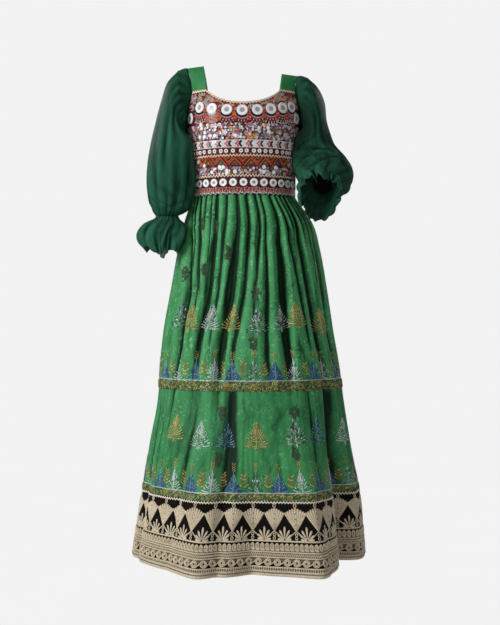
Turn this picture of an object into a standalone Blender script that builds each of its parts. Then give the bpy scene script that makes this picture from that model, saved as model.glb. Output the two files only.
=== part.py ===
# A long embroidered dress, worn shape, modelled as the pieces it is cut from.
# Metres, +Z up, front towards -Y. The origin is on the shoulders, midway between
# the tops of the two straps. Left and right are the wearer's: left is +X.

import math

import bmesh
import bpy
import numpy as np

for old_object in list(bpy.data.objects):
    bpy.data.objects.remove(old_object, do_unlink=True)

# Heights, down from the shoulders
STRAP_BASE_Z = -0.066
NECK_LOW_Z = -0.103
BACK_NECK_LOW_Z = -0.085
UNDERARM_Z = -0.172
WAIST_Z = -0.340
UPPER_SEAM_Z = -0.832
BORDER_TOP_Z = -1.105
HEM_Z = -1.278

# Cloth and seams
SEAM_GAP = 0.0003
SATIN_WALL = 0.0016
BODICE_WALL = 0.0030
BORDER_WALL = 0.0028
CHIFFON_WALL = 0.0012
STRAP_WALL = 0.0020

# What is laid on the cloth
BAND_HEIGHT = 0.016
BAND_THICKNESS = 0.0010
TRIM_HEIGHT = 0.006
NECK_TRIM_HEIGHT = 0.005
TRIM_THICKNESS = 0.0012
BEAD_BAND_TOP_Z = -0.201
BEAD_BAND_BOTTOM_Z = -0.222
BEAD_BAND_THICKNESS = 0.0016
UPPER_TRIM_Z = -0.241
LOWER_TRIM_Z = -0.292

# Where the straps meet the bodice, as angles round the body from the front centre
STRAP_INNER_ANGLE = 45.0
STRAP_OUTER_ANGLE = 67.5
BODICE_STEP = 7.5

# Half outlines of the body of the dress: z, left edge, right edge, front, back
BODICE_LEVELS = np.array([
    (-0.066, -0.145, 0.148, 0.092, 0.085),
    (-0.120, -0.147, 0.150, 0.108, 0.096),
    (-0.170, -0.146, 0.149, 0.114, 0.098),
    (-0.220, -0.141, 0.144, 0.112, 0.094),
    (-0.280, -0.136, 0.140, 0.105, 0.089),
    (-0.340, -0.134, 0.1386, 0.100, 0.086),
])
SKIRT_LEVELS = np.array([
    (-0.340, -0.134, 0.1386, 0.100, 0.088),
    (-0.411, -0.157, 0.1860, 0.125, 0.108),
    (-0.477, -0.172, 0.2040, 0.140, 0.120),
    (-0.583, -0.191, 0.2226, 0.155, 0.135),
    (-0.689, -0.210, 0.2386, 0.168, 0.148),
    (-0.782, -0.219, 0.2545, 0.180, 0.156),
    (-0.872, -0.225, 0.2658, 0.190, 0.163),
    (-0.984, -0.246, 0.2836, 0.205, 0.174),
    (-1.105, -0.265, 0.3061, 0.222, 0.186),
    (-1.283, -0.292, 0.3220, 0.272, 0.205),
])

# Folds that fall from the gathered waist. Each row: angle at the six heights,
# depth in mm at the same heights, half width in mm where the fold is full.
UPPER_HEIGHTS = (-0.34, -0.46, -0.60, -0.75, -0.85, -0.95)
UPPER_FOLDS = (
    ((-70, -56, -50, -53, -56, -56), (4, 9, 13, 12, 5, 0), 12),
    ((-54, -44, -40, -43, -45, -45), (5, 7, 2, 0, 0, 0), 9),
    ((-30, -28, -29, -35, -37, -37), (5, 10, 13, 12, 4, 0), 11),
    ((-19, -22, -23, -27, -28, -28), (5, 8, 8, 2, 0, 0), 9),
    ((-8, -11, -14, -20, -21, -21), (5, 11, 16, 16, 5, 0), 12),
    ((3, 0, -3, -10, -11, -11), (5, 8, 9, 5, 1, 0), 10),
    ((12, 8, 4, 2, 2, 2), (5, 8, 4, 0, 0, 0), 9),
    ((19, 14, 14, 12, 12, 12), (4, 6, 9, 6, 0, 0), 10),
    ((29, 24, 24, 25, 25, 25), (6, 14, 20, 16, 2, 0), 13),
    ((37, 36, 41, 44, 44, 44), (5, 9, 7, 1, 0, 0), 9),
    ((49, 45, 49, 53, 55, 56), (5, 11, 15, 16, 10, 0), 13),
    ((70, 68, 68, 69, 70, 70), (4, 8, 8, 5, 2, 0), 12),
    ((107, 106, 104, 103, 103, 103), (5, 9, 12, 9, 3, 0), 12),
    ((126, 125, 126, 128, 128, 128), (5, 11, 14, 13, 5, 0), 13),
    ((144, 143, 141, 139, 139, 139), (5, 8, 7, 2, 0, 0), 10),
    ((160, 161, 158, 156, 155, 155), (6, 12, 17, 14, 4, 0), 12),
    ((178, 178, 180, 181, 181, 181), (5, 9, 10, 8, 2, 0), 11),
    ((196, 197, 200, 202, 203, 203), (6, 11, 15, 15, 6, 0), 13),
    ((214, 215, 217, 219, 219, 219), (5, 8, 6, 1, 0, 0), 10),
    ((232, 233, 232, 231, 230, 230), (5, 11, 15, 12, 4, 0), 12),
    ((251, 252, 254, 255, 255, 255), (5, 9, 11, 9, 3, 0), 12),
)

# Folds and lobes of the lower tier, in the same form. A minus depth is a lobe.
LOWER_HEIGHTS = (-0.79, -0.85, -0.93, -1.01, -1.105, -1.28)
LOWER_FOLDS = (
    ((-74, -74, -74, -73, -72, -72), (0, 2, 5, 7, 8, 8), 22),
    ((-32, -33, -34, -36, -38, -40), (0, 4, 7, 7, 4, 2), 14),
    ((-10, -11, -12, -13, -14, -14), (0, 6, 12, 14, 13, 10), 18),
    ((-3, -3, -3, -2, 0, 1), (0, 2, 3, 4, 6, 14), 34),
    ((37, 37, 38, 37, 36, 36), (0, 3, 5, 5, 4, 3), 14),
    ((56, 57, 57, 57, 57, 58), (0, 8, 18, 28, 40, 56), 44),
    ((76, 76, 77, 78, 78, 78), (0, 1, 3, 3, 2, 0), 16),
    ((104, 104, 104, 105, 106, 106), (0, 3, 8, 12, 15, 18), 27),
    ((129, 129, 130, 131, 132, 132), (0, 5, 10, 13, 16, 20), 28),
    ((156, 156, 156, 155, 154, 154), (0, 4, 10, 14, 18, 22), 30),
    ((182, 182, 181, 180, 180, 180), (0, 2, 6, 9, 12, 16), 26),
    ((204, 204, 205, 206, 206, 206), (0, 6, 12, 15, 18, 22), 30),
    ((230, 230, 230, 231, 232, 232), (0, 4, 9, 13, 16, 18), 27),
    ((254, 254, 254, 255, 256, 256), (0, 3, 8, 10, 12, 12), 24),
)
LOWER_LOBES = (
    ((-21, -21, -21, -21, -21, -21), (0, 0, -3, -8, -18, -38), 80),
    ((29, 29, 29, 29, 29, 29), (0, 0, -4, -10, -24, -50), 72),
)

# Small gathers between those folds, at the waist only
GATHER_STEP = 8.0
GATHER_DEPTH = 0.0045
GATHER_HALF_WIDTH = 2.0
GATHER_SHORTEST = 0.09
GATHER_SPREAD = 0.13
FOLD_WAIST_WIDTH = 0.38
FOLD_FULL_DROP = 0.20

# The hem border: cut-out kites on a dark ground above a raised braid band
KITE_COUNT = 36
KITE_HALF_WIDTH = 0.36
KITE_RISE = 0.0014
RICRAC_RISE = 0.0010
BRAID_RISE = 0.0012
BORDER_ROWS = (
    # drop below the border's top, rise of the ground, rise at a kite's middle,
    # half width of the kite as a share of its widest
    (0.0000, RICRAC_RISE, RICRAC_RISE, 1.00),
    (0.0065, RICRAC_RISE, RICRAC_RISE, 1.00),
    (0.0080, 0.0, KITE_RISE, 0.70),
    (0.0220, 0.0, KITE_RISE, 1.00),
    (0.0720, 0.0, KITE_RISE, 0.12),
    (0.0960, 0.0, 0.0, 0.12),
    (0.0972, BRAID_RISE, BRAID_RISE, 0.60),
    (0.1670, BRAID_RISE, BRAID_RISE, 1.00),
    (0.1730, 0.0, 0.0, 1.00),
)
BORDER_INNER_DROPS = (0.0, 0.0220, 0.0960, 0.1670, 0.1730)

# Straps: x of the inner and outer edge and height at the top, for each side
STRAP_TOPS = {
    "right": (-1, -0.100, -0.145, 0.010),
    "left": (1, 0.098, 0.143, -0.011),
}
STRAP_SLOPE = 0.006
STRAP_STEPS = 12
STRAP_COLUMNS = 3

# Sleeves: centre of each ring, direction of the arm there, half size towards
# the outer side, half size towards the front, fold depth in mm
RIGHT_SLEEVE = (
    ((-0.164, -0.002, -0.093), (-1.00, 0.00, -0.09), 0.0875, 0.062, 3.0),
    ((-0.177, -0.006, -0.114), (-0.97, 0.00, -0.26), 0.0810, 0.067, 4.5),
    ((-0.180, -0.014, -0.145), (-0.87, 0.00, -0.49), 0.0685, 0.066, 4.0),
    ((-0.184, -0.022, -0.181), (-0.68, -0.03, -0.73), 0.0600, 0.063, 3.5),
    ((-0.188, -0.032, -0.224), (-0.41, -0.04, -0.91), 0.0575, 0.060, 3.5),
    ((-0.192, -0.041, -0.272), (-0.17, -0.06, -0.98), 0.0580, 0.060, 3.5),
    ((-0.194, -0.047, -0.315), (-0.07, -0.06, -1.00), 0.0560, 0.058, 4.0),
    ((-0.195, -0.052, -0.355), (0.00, -0.05, -1.00), 0.0490, 0.049, 4.0),
    ((-0.196, -0.055, -0.381), (0.00, -0.03, -1.00), 0.0380, 0.037, 3.0),
    ((-0.197, -0.056, -0.393), (0.00, 0.00, -1.00), 0.0320, 0.031, 1.6),
)
LEFT_SLEEVE = (
    ((0.162, -0.002, -0.102), (0.99, 0.00, -0.11), 0.0785, 0.062, 2.5),
    ((0.175, -0.006, -0.119), (0.96, 0.00, -0.30), 0.0725, 0.066, 3.5),
    ((0.184, -0.012, -0.144), (0.87, 0.00, -0.50), 0.0620, 0.064, 3.0),
    ((0.187, -0.020, -0.179), (0.70, -0.05, -0.71), 0.0490, 0.060, 2.5),
    ((0.192, -0.032, -0.217), (0.28, -0.22, -0.95), 0.0500, 0.060, 3.0),
    ((0.213, -0.050, -0.262), (0.10, -0.55, -0.83), 0.0620, 0.061, 4.5),
    ((0.222, -0.083, -0.290), (-0.08, -0.84, -0.53), 0.0620, 0.060, 4.5),
    ((0.217, -0.118, -0.308), (-0.24, -0.92, -0.32), 0.0560, 0.054, 4.0),
    ((0.205, -0.147, -0.318), (-0.32, -0.90, -0.28), 0.0420, 0.040, 3.0),
    ((0.199, -0.160, -0.322), (-0.32, -0.90, -0.28), 0.0320, 0.031, 1.6),
)
# Cuff ruffles, in the same form, from the gathered wrist to the free edge
RIGHT_RUFFLE = (
    ((-0.197, -0.056, -0.4015), (0.00, 0.00, -1.00), 0.0350, 0.034, 2.0),
    ((-0.203, -0.056, -0.4170), (0.00, 0.00, -1.00), 0.0520, 0.046, 5.0),
    ((-0.211, -0.056, -0.4400), (0.05, 0.00, -1.00), 0.0580, 0.051, 8.0),
    ((-0.211, -0.056, -0.4640), (0.12, 0.00, -0.99), 0.0530, 0.048, 10.0),
    ((-0.206, -0.056, -0.4880), (0.18, 0.00, -0.98), 0.0400, 0.040, 9.0),
)
LEFT_RUFFLE = (
    ((0.1964, -0.1672, -0.3242), (-0.32, -0.90, -0.28), 0.0350, 0.034, 2.0),
    ((0.1920, -0.1800, -0.3290), (-0.30, -0.92, -0.26), 0.0480, 0.056, 5.0),
    ((0.1890, -0.1960, -0.3350), (-0.25, -0.94, -0.24), 0.0550, 0.070, 8.0),
    ((0.1880, -0.2140, -0.3410), (-0.20, -0.95, -0.22), 0.0550, 0.074, 9.0),
    ((0.1880, -0.2320, -0.3450), (-0.15, -0.97, -0.20), 0.0500, 0.068, 9.0),
)
ARMHOLE_STANDOFF = 0.0005
ARMHOLE_STEP = 0.0165
BODY_CLEARANCE = 0.004
RUFFLE_COLUMNS = 40
RUFFLE_WAVES = 10

# Sewn discs on the bodice: radius, mirror radius, thickness, sides
BIG_DISC = (0.0146, 0.0062, 0.0014, 12)
SMALL_DISC = (0.0100, 0.0042, 0.0012, 8)
BIG_DISC_ANGLES = (-49.5, -33, -16.5, -1, 14, 28.5, 43, 57)
BIG_DISC_LOW_Z = -0.1255
BIG_DISC_SIDE_Z = -0.109
SIDE_DISC_ANGLE = 68
SIDE_DISC_Z = -0.137
SMALL_DISC_COUNT = 13
SMALL_DISC_STEP = 11.2
SMALL_DISC_Z = -0.3090
DISC_DISH = 0.0004


def smooth_column(levels, z, column):
    # Catmull-Rom through one column of a table whose first column is z, falling
    heights = -levels[:, 0]
    values = levels[:, column]
    slopes = np.gradient(values, heights)
    depth = np.clip(-np.asarray(z, dtype=float), heights[0], heights[-1])
    right = np.clip(np.searchsorted(heights, depth), 1, len(heights) - 1)
    left = right - 1
    span = heights[right] - heights[left]
    t = (depth - heights[left]) / span
    start = (1 + 2 * t) * (1 - t) ** 2 * values[left] + t * (1 - t) ** 2 * span * slopes[left]
    end = t * t * (3 - 2 * t) * values[right] + t * t * (t - 1) * span * slopes[right]
    return start + end


def body_section(levels, angle, z):
    # Point and outward direction on the plain outline, angle in degrees from the front
    turn = np.radians(angle)
    left = smooth_column(levels, z, 1)
    right = smooth_column(levels, z, 2)
    front = smooth_column(levels, z, 3)
    back = smooth_column(levels, z, 4)
    half = (right - left) / 2
    depth = np.where(np.cos(turn) >= 0, front, back)
    point = np.stack([(left + right) / 2 + half * np.sin(turn), -depth * np.cos(turn),
                      np.broadcast_to(z, np.shape(turn))], axis=-1)
    out = np.stack([np.sin(turn) / half, -np.cos(turn) / depth, np.zeros_like(turn)], axis=-1)
    return point, out / np.linalg.norm(out, axis=-1, keepdims=True)


def angle_apart(first, second):
    return (first - second + 180.0) % 360.0 - 180.0


def fold_depth(folds, heights, angle, z, girth_radius, narrow):
    # Sum of rounded troughs, in metres, positive inwards
    total = np.zeros_like(angle)
    drops = [-height for height in heights]
    for angles, depths, width in folds:
        middle = np.interp(-z, drops, angles)
        depth = np.interp(-z, drops, depths) / 1000
        half_width = width / 1000 * narrow
        distance = np.radians(angle_apart(angle, middle)) * girth_radius
        total += depth * np.exp(-(distance / half_width) ** 2)
    return total


SIDE_SEAMS = (-90.0, 90.0, 270.0)


def main_lines(step):
    # Angles of the side seams and the main folds at one of the six heights
    folds = [fold[0][step] for fold in UPPER_FOLDS]
    return np.array(sorted(list(SIDE_SEAMS) + folds), dtype=float)


def gather_lines():
    # Angles at the waist of the main folds and of the small gathers between them
    main = list(main_lines(0))
    small = []
    for first, second in zip(main[:-1], main[1:]):
        pieces = max(1, round((second - first) / GATHER_STEP))
        small += [first + (second - first) * k / pieces for k in range(1, pieces)]
    return main, small


MAIN_LINES, SMALL_LINES = gather_lines()


def gather_depth(line, z):
    # Small gathers, set out along the waist and fading at uneven lengths
    total = np.zeros_like(line)
    for number, middle in enumerate(SMALL_LINES):
        length = GATHER_SHORTEST + GATHER_SPREAD * (0.5 + 0.5 * math.sin(2.3 * number))
        fade = np.clip(1 - (WAIST_Z - z) / length, 0, 1)
        total += GATHER_DEPTH * fade * np.exp(-(angle_apart(line, middle) / GATHER_HALF_WIDTH) ** 2)
    return total


def line_angle(line, z):
    # The angle that a line drawn from the waist has reached at height z
    drops = [-height for height in UPPER_HEIGHTS]
    steps = np.array([main_lines(step) for step in range(len(UPPER_HEIGHTS))])
    here = [np.interp(-z, drops, steps[:, k]) for k in range(steps.shape[1])]
    return np.interp(line, MAIN_LINES, here)


def skirt_surface(angle, z, line=None):
    # Outer face of the skirt: plain outline less its folds, with the way out of it
    point, out = body_section(SKIRT_LEVELS, angle, z)
    girth = np.hypot(point[..., 0], point[..., 1])
    full = np.clip((WAIST_Z - z) / FOLD_FULL_DROP, 0, 1)
    narrow = FOLD_WAIST_WIDTH + (1 - FOLD_WAIST_WIDTH) * full
    inward = fold_depth(UPPER_FOLDS, UPPER_HEIGHTS, angle, z, girth, narrow)
    inward += fold_depth(LOWER_FOLDS + LOWER_LOBES, LOWER_HEIGHTS, angle, z, girth, 1.0)
    if line is not None:
        inward += gather_depth(line, z)
    return point - out * inward[..., None], out


def with_crests(lines, first, last):
    # The lines inside a panel, a crest between each two, and the panel's two edges
    inside = sorted(line for line in lines if first < line < last)
    stops = [first] + inside + [last]
    columns = [first]
    for start, end in zip(stops[:-1], stops[1:]):
        columns += [(start + end) / 2, end]
    return np.array(columns)


def make_material(name, colour, roughness, metallic=0.0):
    material = bpy.data.materials.new(name)
    material.use_nodes = True
    shader = material.node_tree.nodes["Principled BSDF"]
    shader.inputs["Base Color"].default_value = (*colour, 1.0)
    shader.inputs["Roughness"].default_value = roughness
    shader.inputs["Metallic"].default_value = metallic
    material.diffuse_color = (*colour, 1.0)
    return material


GREEN_SATIN = make_material("green_satin", (0.075, 0.300, 0.120), 0.45)
CHIFFON = make_material("dark_green_chiffon", (0.018, 0.085, 0.048), 0.80)
EMBROIDERY = make_material("embroidered_ground", (0.160, 0.030, 0.020), 0.75)
CREAM_BRAID = make_material("cream_braid", (0.480, 0.400, 0.280), 0.60)
BORDER_GROUND = make_material("black_border_cloth", (0.012, 0.011, 0.008), 0.80)
GOLD_BRAID = make_material("gold_braid", (0.330, 0.250, 0.080), 0.45, 0.4)
BEADS = make_material("white_beads", (0.700, 0.700, 0.660), 0.30)
DISC_SHELL = make_material("white_disc", (0.720, 0.720, 0.700), 0.30)


def signed_volume(mesh):
    # Volume that the faces enclose, below zero if they point inwards
    solid = bmesh.new()
    solid.from_mesh(mesh)
    volume = solid.calc_volume(signed=True)
    solid.free()
    return volume


def make_object(name, points, faces, material):
    mesh = bpy.data.meshes.new(name)
    mesh.from_pydata([tuple(point) for point in points], [], faces)
    mesh.validate()
    if signed_volume(mesh) < 0:
        mesh.flip_normals()
    mesh.shade_smooth()
    mesh.set_sharp_from_angle(angle=math.radians(50))
    mesh.materials.append(material)
    made = bpy.data.objects.new(name, mesh)
    bpy.context.scene.collection.objects.link(made)
    return made


def strip_faces(upper, lower, flip):
    # Triangles between two rows of point numbers, always split along one diagonal
    faces = []
    for a, b, c, d in zip(upper[:-1], upper[1:], lower[1:], lower[:-1]):
        faces += [(a, b, c), (a, c, d)] if flip else [(a, c, b), (a, d, c)]
    return faces


def make_wall(name, outer, inner, closed, material):
    # Closed wall between an outer and an inner grid of points. Rows run down and
    # columns run from the wearer's right, round the front. The inner grid may have
    # fewer rows. A closed wall is a tube, and its first column is not repeated.
    rows, columns = outer.shape[:2]
    inner_rows = inner.shape[0]
    points = np.concatenate([outer.reshape(-1, 3), inner.reshape(-1, 3)])
    order = list(range(columns)) + ([0] if closed else [])
    out_ids = [[r * columns + c for c in order] for r in range(rows)]
    base = rows * columns
    in_ids = [[base + r * columns + c for c in order] for r in range(inner_rows)]
    faces = []
    for r in range(rows - 1):
        faces += strip_faces(out_ids[r], out_ids[r + 1], False)
    for r in range(inner_rows - 1):
        faces += strip_faces(in_ids[r], in_ids[r + 1], True)
    faces += strip_faces(out_ids[0], in_ids[0], True)
    faces += strip_faces(out_ids[-1], in_ids[-1], False)
    if not closed:
        faces.append([row[0] for row in in_ids] + [row[0] for row in reversed(out_ids)])
        faces.append([row[-1] for row in out_ids] + [row[-1] for row in reversed(in_ids)])
    return make_object(name, points, faces, material)


def outward_normals(grid, closed, inside):
    # Unit normals of a grid of points, pointing away from the points given as inside
    if closed:
        across = np.roll(grid, -1, axis=1) - np.roll(grid, 1, axis=1)
    else:
        across = np.gradient(grid, axis=1)
    normal = np.cross(np.gradient(grid, axis=0), across)
    normal /= np.linalg.norm(normal, axis=-1, keepdims=True)
    return normal if np.sum(normal * (grid - inside)) > 0 else -normal


def square_end(normals, row, axis):
    # Keep an end ring's normals in the plane across the axis, so that the end is flat
    normals[row] -= np.outer(normals[row] @ axis, axis)
    normals[row] /= np.linalg.norm(normals[row], axis=-1, keepdims=True)


def keep_seam(points, angles):
    # Draw a panel's two edges back from its side seams by half the seam gap
    moved = points.copy()
    for column in (0, -1):
        front = abs(angle_apart(angles[column], 0)) < 90.001 and abs(angles[1]) < 90.001
        moved[:, column, 1] = -SEAM_GAP / 2 if front else SEAM_GAP / 2
    return moved


def skirt_panel(name, columns, rows, line_of, wall, material, laid_on=()):
    # One panel of a tier, and each band that is laid over two of its rows
    surfaces = [skirt_surface(line_of(columns, z), z, columns if line_of is line_angle else None)
                for z in rows]
    outer = np.stack([point for point, out in surfaces])
    way_out = np.stack([out for point, out in surfaces])
    make_wall(name, keep_seam(outer, columns), keep_seam(outer - way_out * wall, columns),
              False, material)
    for band_name, top_row, thickness, band_material in laid_on:
        face = outer[top_row:top_row + 2]
        away = way_out[top_row:top_row + 2]
        under = keep_seam(face + away * SEAM_GAP, columns)
        over = keep_seam(face + away * (SEAM_GAP + thickness), columns)
        make_wall(band_name, over, under, False, band_material)


def same_angle(line, z):
    return line


def tier_columns(folds, heights, height, first, last, spare):
    # Columns of the lower tier: on its folds, a crest between each two, and edges
    drops = [-value for value in heights]
    lines = [float(np.interp(-height, drops, fold[0])) for fold in folds]
    inside = [line for line in lines if first < line < last]
    stops = [first] + inside + [last]
    columns = [first]
    for start, end in zip(stops[:-1], stops[1:]):
        pieces = max(2, round((end - start) / spare))
        columns += [start + (end - start) * k / pieces for k in range(1, pieces + 1)]
    return np.array(columns)


def build_skirt():
    upper_rows = (WAIST_Z - SEAM_GAP / 2, -0.355, -0.385, -0.430, -0.500, -0.600, -0.710,
                  UPPER_SEAM_Z + BAND_HEIGHT, UPPER_SEAM_Z)
    lower_rows = (UPPER_SEAM_Z - SEAM_GAP, -0.905, -0.995, BORDER_TOP_Z + BAND_HEIGHT,
                  BORDER_TOP_Z)
    lines = MAIN_LINES + SMALL_LINES
    sides = {"front": (-90.0, 90.0), "back": (90.0, 270.0)}
    for side, (first, last) in sides.items():
        upper = with_crests(lines, first, last)
        skirt_panel("upper_tier_" + side, upper, upper_rows, line_angle, SATIN_WALL, GREEN_SATIN,
                    [("gold_band_upper_" + side, 7, BAND_THICKNESS, GOLD_BRAID)])
        lower = tier_columns(LOWER_FOLDS, LOWER_HEIGHTS, -0.93, first, last, 6.5)
        skirt_panel("lower_tier_" + side, lower, lower_rows, same_angle, SATIN_WALL, GREEN_SATIN,
                    [("gold_band_lower_" + side, 3, BAND_THICKNESS, GOLD_BRAID)])


def border_angles(first, last, count):
    # Angles that step evenly along the border's own length, folds and all
    fine = np.linspace(first, last, 1441)
    points, out = skirt_surface(fine, BORDER_TOP_Z - 0.05)
    length = np.concatenate([[0], np.cumsum(np.linalg.norm(np.diff(points, axis=0), axis=1))])
    return np.interp(np.linspace(0, length[-1], count + 1), length, fine)


def border_row(gaps, middles, drop, width):
    # Angles and height of a row: gap, kite's left edge, middle, right edge, and so on
    half = KITE_HALF_WIDTH * width * np.diff(gaps)
    columns = np.stack([gaps[:-1], middles - half, middles, middles + half], axis=1).ravel()
    z = BORDER_TOP_Z - SEAM_GAP - drop
    return np.append(columns, gaps[-1]), max(z, HEM_Z)


def build_border():
    kites = KITE_COUNT // 2
    for side, first, last in (("front", -90.0, 90.0), ("back", 90.0, 270.0)):
        even = border_angles(first, last, kites * 2)
        outer, inner = [], []
        for drop, ground, crown, width in BORDER_ROWS:
            columns, z = border_row(even[0::2], even[1::2], drop, width)
            point, out = skirt_surface(columns, z)
            rises = np.array([ground, ground, crown, ground] * kites + [ground])
            outer.append(point + out * rises[:, None])
            if drop in BORDER_INNER_DROPS:
                inner.append(point - out * BORDER_WALL)
        ends = np.array([first, last])
        make_wall("hem_border_" + side, keep_seam(np.stack(outer), ends),
                  keep_seam(np.stack(inner), ends), False, BORDER_GROUND)


def neck_edge(angle):
    # Height of the bodice's top edge at an angle round the body
    away = abs(angle_apart(angle, 0))
    if away <= STRAP_INNER_ANGLE:
        return NECK_LOW_Z + (STRAP_BASE_Z - NECK_LOW_Z) * (away / STRAP_INNER_ANGLE) ** 2.2
    if away <= STRAP_OUTER_ANGLE:
        return STRAP_BASE_Z
    if away <= 180 - STRAP_OUTER_ANGLE:
        share = abs(away - 90) / (90 - STRAP_OUTER_ANGLE)
        return UNDERARM_Z + (STRAP_BASE_Z - UNDERARM_Z) * (1 - (1 - share) ** 0.8)
    if away <= 180 - STRAP_INNER_ANGLE:
        return STRAP_BASE_Z
    share = (180 - away) / STRAP_INNER_ANGLE
    return BACK_NECK_LOW_Z + (STRAP_BASE_Z - BACK_NECK_LOW_Z) * share ** 2


def bodice_grid(angles, shares, levels_below):
    # Rows: shares of the way from the top edge to the first fixed level, then levels
    first_level = levels_below[0]
    tops = np.array([neck_edge(angle) for angle in angles])
    rows = [tops + (first_level - tops) * share for share in shares]
    rows += [np.full(len(angles), level) for level in levels_below]
    surfaces = [body_section(BODICE_LEVELS, angles, row) for row in rows]
    return np.stack([s[0] for s in surfaces]), np.stack([s[1] for s in surfaces])


def lay_strip(name, angles, top, bottom, thickness, material):
    # A flat trim laid round the bodice front between two heights
    rows = [np.broadcast_to(top, angles.shape), np.broadcast_to(bottom, angles.shape)]
    surfaces = [body_section(BODICE_LEVELS, angles, row) for row in rows]
    face = np.stack([s[0] for s in surfaces])
    away = np.stack([s[1] for s in surfaces])
    make_wall(name, face + away * (SEAM_GAP + thickness), face + away * SEAM_GAP, False, material)


def build_bodice():
    front = np.arange(-90.0, 90.01, BODICE_STEP)
    levels = (BEAD_BAND_TOP_Z, BEAD_BAND_BOTTOM_Z, -0.262, -0.302, WAIST_Z + SEAM_GAP / 2)
    point, out = bodice_grid(front, (0, 0.25, 0.6), levels)
    make_wall("bodice_front", keep_seam(point, front), keep_seam(point - out * BODICE_WALL, front),
              False, EMBROIDERY)
    back = np.arange(90.0, 270.01, 1.5 * BODICE_STEP)
    point, out = bodice_grid(back, (0, 0.5), levels[1:])
    make_wall("bodice_back", keep_seam(point, back), keep_seam(point - out * SATIN_WALL, back),
              False, GREEN_SATIN)
    wide = front[2:-2]
    lay_strip("bead_band", wide, BEAD_BAND_TOP_Z, BEAD_BAND_BOTTOM_Z, BEAD_BAND_THICKNESS, BEADS)
    for name, middle in (("ricrac_middle", UPPER_TRIM_Z), ("ricrac_low", LOWER_TRIM_Z)):
        lay_strip(name, wide, middle + TRIM_HEIGHT / 2, middle - TRIM_HEIGHT / 2,
                  TRIM_THICKNESS, CREAM_BRAID)
    neck = front[np.abs(front) < STRAP_OUTER_ANGLE]
    edge = np.array([neck_edge(angle) for angle in neck])
    lay_strip("ricrac_neck", neck, edge, edge - NECK_TRIM_HEIGHT, TRIM_THICKNESS, CREAM_BRAID)


def hermite(start, end, leave, arrive, t):
    return ((1 + 2 * t) * (1 - t) ** 2 * start + t * (1 - t) ** 2 * leave
            + t * t * (3 - 2 * t) * end + t * t * (t - 1) * arrive)


def strap_grid(side, inner_x, outer_x, top_z):
    # Rows go from the bodice front over the shoulder to the back, columns outwards
    shares = np.linspace(0, 1, STRAP_COLUMNS + 1)
    angles = STRAP_INNER_ANGLE + (STRAP_OUTER_ANGLE - STRAP_INNER_ANGLE) * shares
    front = body_section(BODICE_LEVELS, side * angles, STRAP_BASE_Z)[0]
    back = body_section(BODICE_LEVELS, side * (180 - angles), STRAP_BASE_Z)[0]
    front[:, 2] += SEAM_GAP
    back[:, 2] += SEAM_GAP
    tops = np.stack([inner_x + (outer_x - inner_x) * shares, np.full(shares.shape, 0.004),
                     top_z - STRAP_SLOPE * shares], axis=-1)
    up = np.array([0.0, 0.0, 0.085])
    over = np.array([0.0, 0.085, 0.0])
    half = STRAP_STEPS // 2
    rows = [hermite(front, tops, up, over, t) for t in np.linspace(0, 1, half + 1)]
    rows += [hermite(tops, back, over, -up, t) for t in np.linspace(0, 1, half + 1)[1:]]
    grid = np.stack(rows)
    return grid if side > 0 else grid[:, ::-1]


def build_strap(name, side, inner_x, outer_x, top_z):
    grid = strap_grid(side, inner_x, outer_x, top_z)
    out = outward_normals(grid, False, np.array([grid[..., 0].mean(), 0.0, STRAP_BASE_Z]))
    for row in (0, -1):
        square_end(out, row, np.array([0.0, 0.0, 1.0]))
    make_wall("strap_" + name, grid, grid - out * STRAP_WALL, False, GREEN_SATIN)


def armhole_ring(side, strap):
    # Edge points of the armhole, all round: over the strap, then down the bodice
    outer_edge = strap[:, -1] if side > 0 else strap[:, 0]
    angles = [101.25, 90.0, 82.5, 75.0]
    bodice = [body_section(BODICE_LEVELS, np.array(side * angle), neck_edge(angle))[0]
              for angle in angles]
    corners = np.array(list(outer_edge) + bodice)
    points = []
    for start, end in zip(corners, np.roll(corners, -1, axis=0)):
        pieces = max(1, round(np.linalg.norm(end - start) / ARMHOLE_STEP))
        points += [start + (end - start) * k / pieces for k in range(pieces)]
    points = np.array(points)
    middle_z = (points[:, 2].max() + points[:, 2].min()) / 2
    turn = np.arctan2(-points[:, 1], points[:, 2] - middle_z)
    order = np.argsort(turn)
    return points[order], turn[order]


def ring_frames(rings, start_side):
    # Carry one side direction along the arm without twist
    side = np.array(start_side, dtype=float)
    frames = []
    for centre, axis, side_half, front_half, fold in rings:
        axis = np.array(axis) / np.linalg.norm(axis)
        side = side - axis * np.dot(side, axis)
        side /= np.linalg.norm(side)
        frames.append((np.array(centre), axis, side, np.cross(axis, side), side_half,
                       front_half, fold / 1000))
    return frames


def clear_of_body(points, side):
    # Move points that come too near the body of the dress straight out sideways
    moved = points.copy()
    for levels, top, bottom, spare in ((BODICE_LEVELS, 1.0, WAIST_Z, BODY_CLEARANCE),
                                       (SKIRT_LEVELS, WAIST_Z, -2.0, BODY_CLEARANCE)):
        z = moved[:, 2]
        left = smooth_column(levels, z, 1)
        right = smooth_column(levels, z, 2)
        depth = np.where(moved[:, 1] < 0, smooth_column(levels, z, 3), smooth_column(levels, z, 4))
        flat = np.clip(1 - (moved[:, 1] / depth) ** 2, 0, 1)
        limit = (left + right) / 2 + side * ((right - left) / 2 * np.sqrt(flat) + spare)
        near = (z <= top) & (z > bottom) & (side * (moved[:, 0] - limit) < 0) & (flat > 0)
        moved[near, 0] = limit[near]
    return moved


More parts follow.
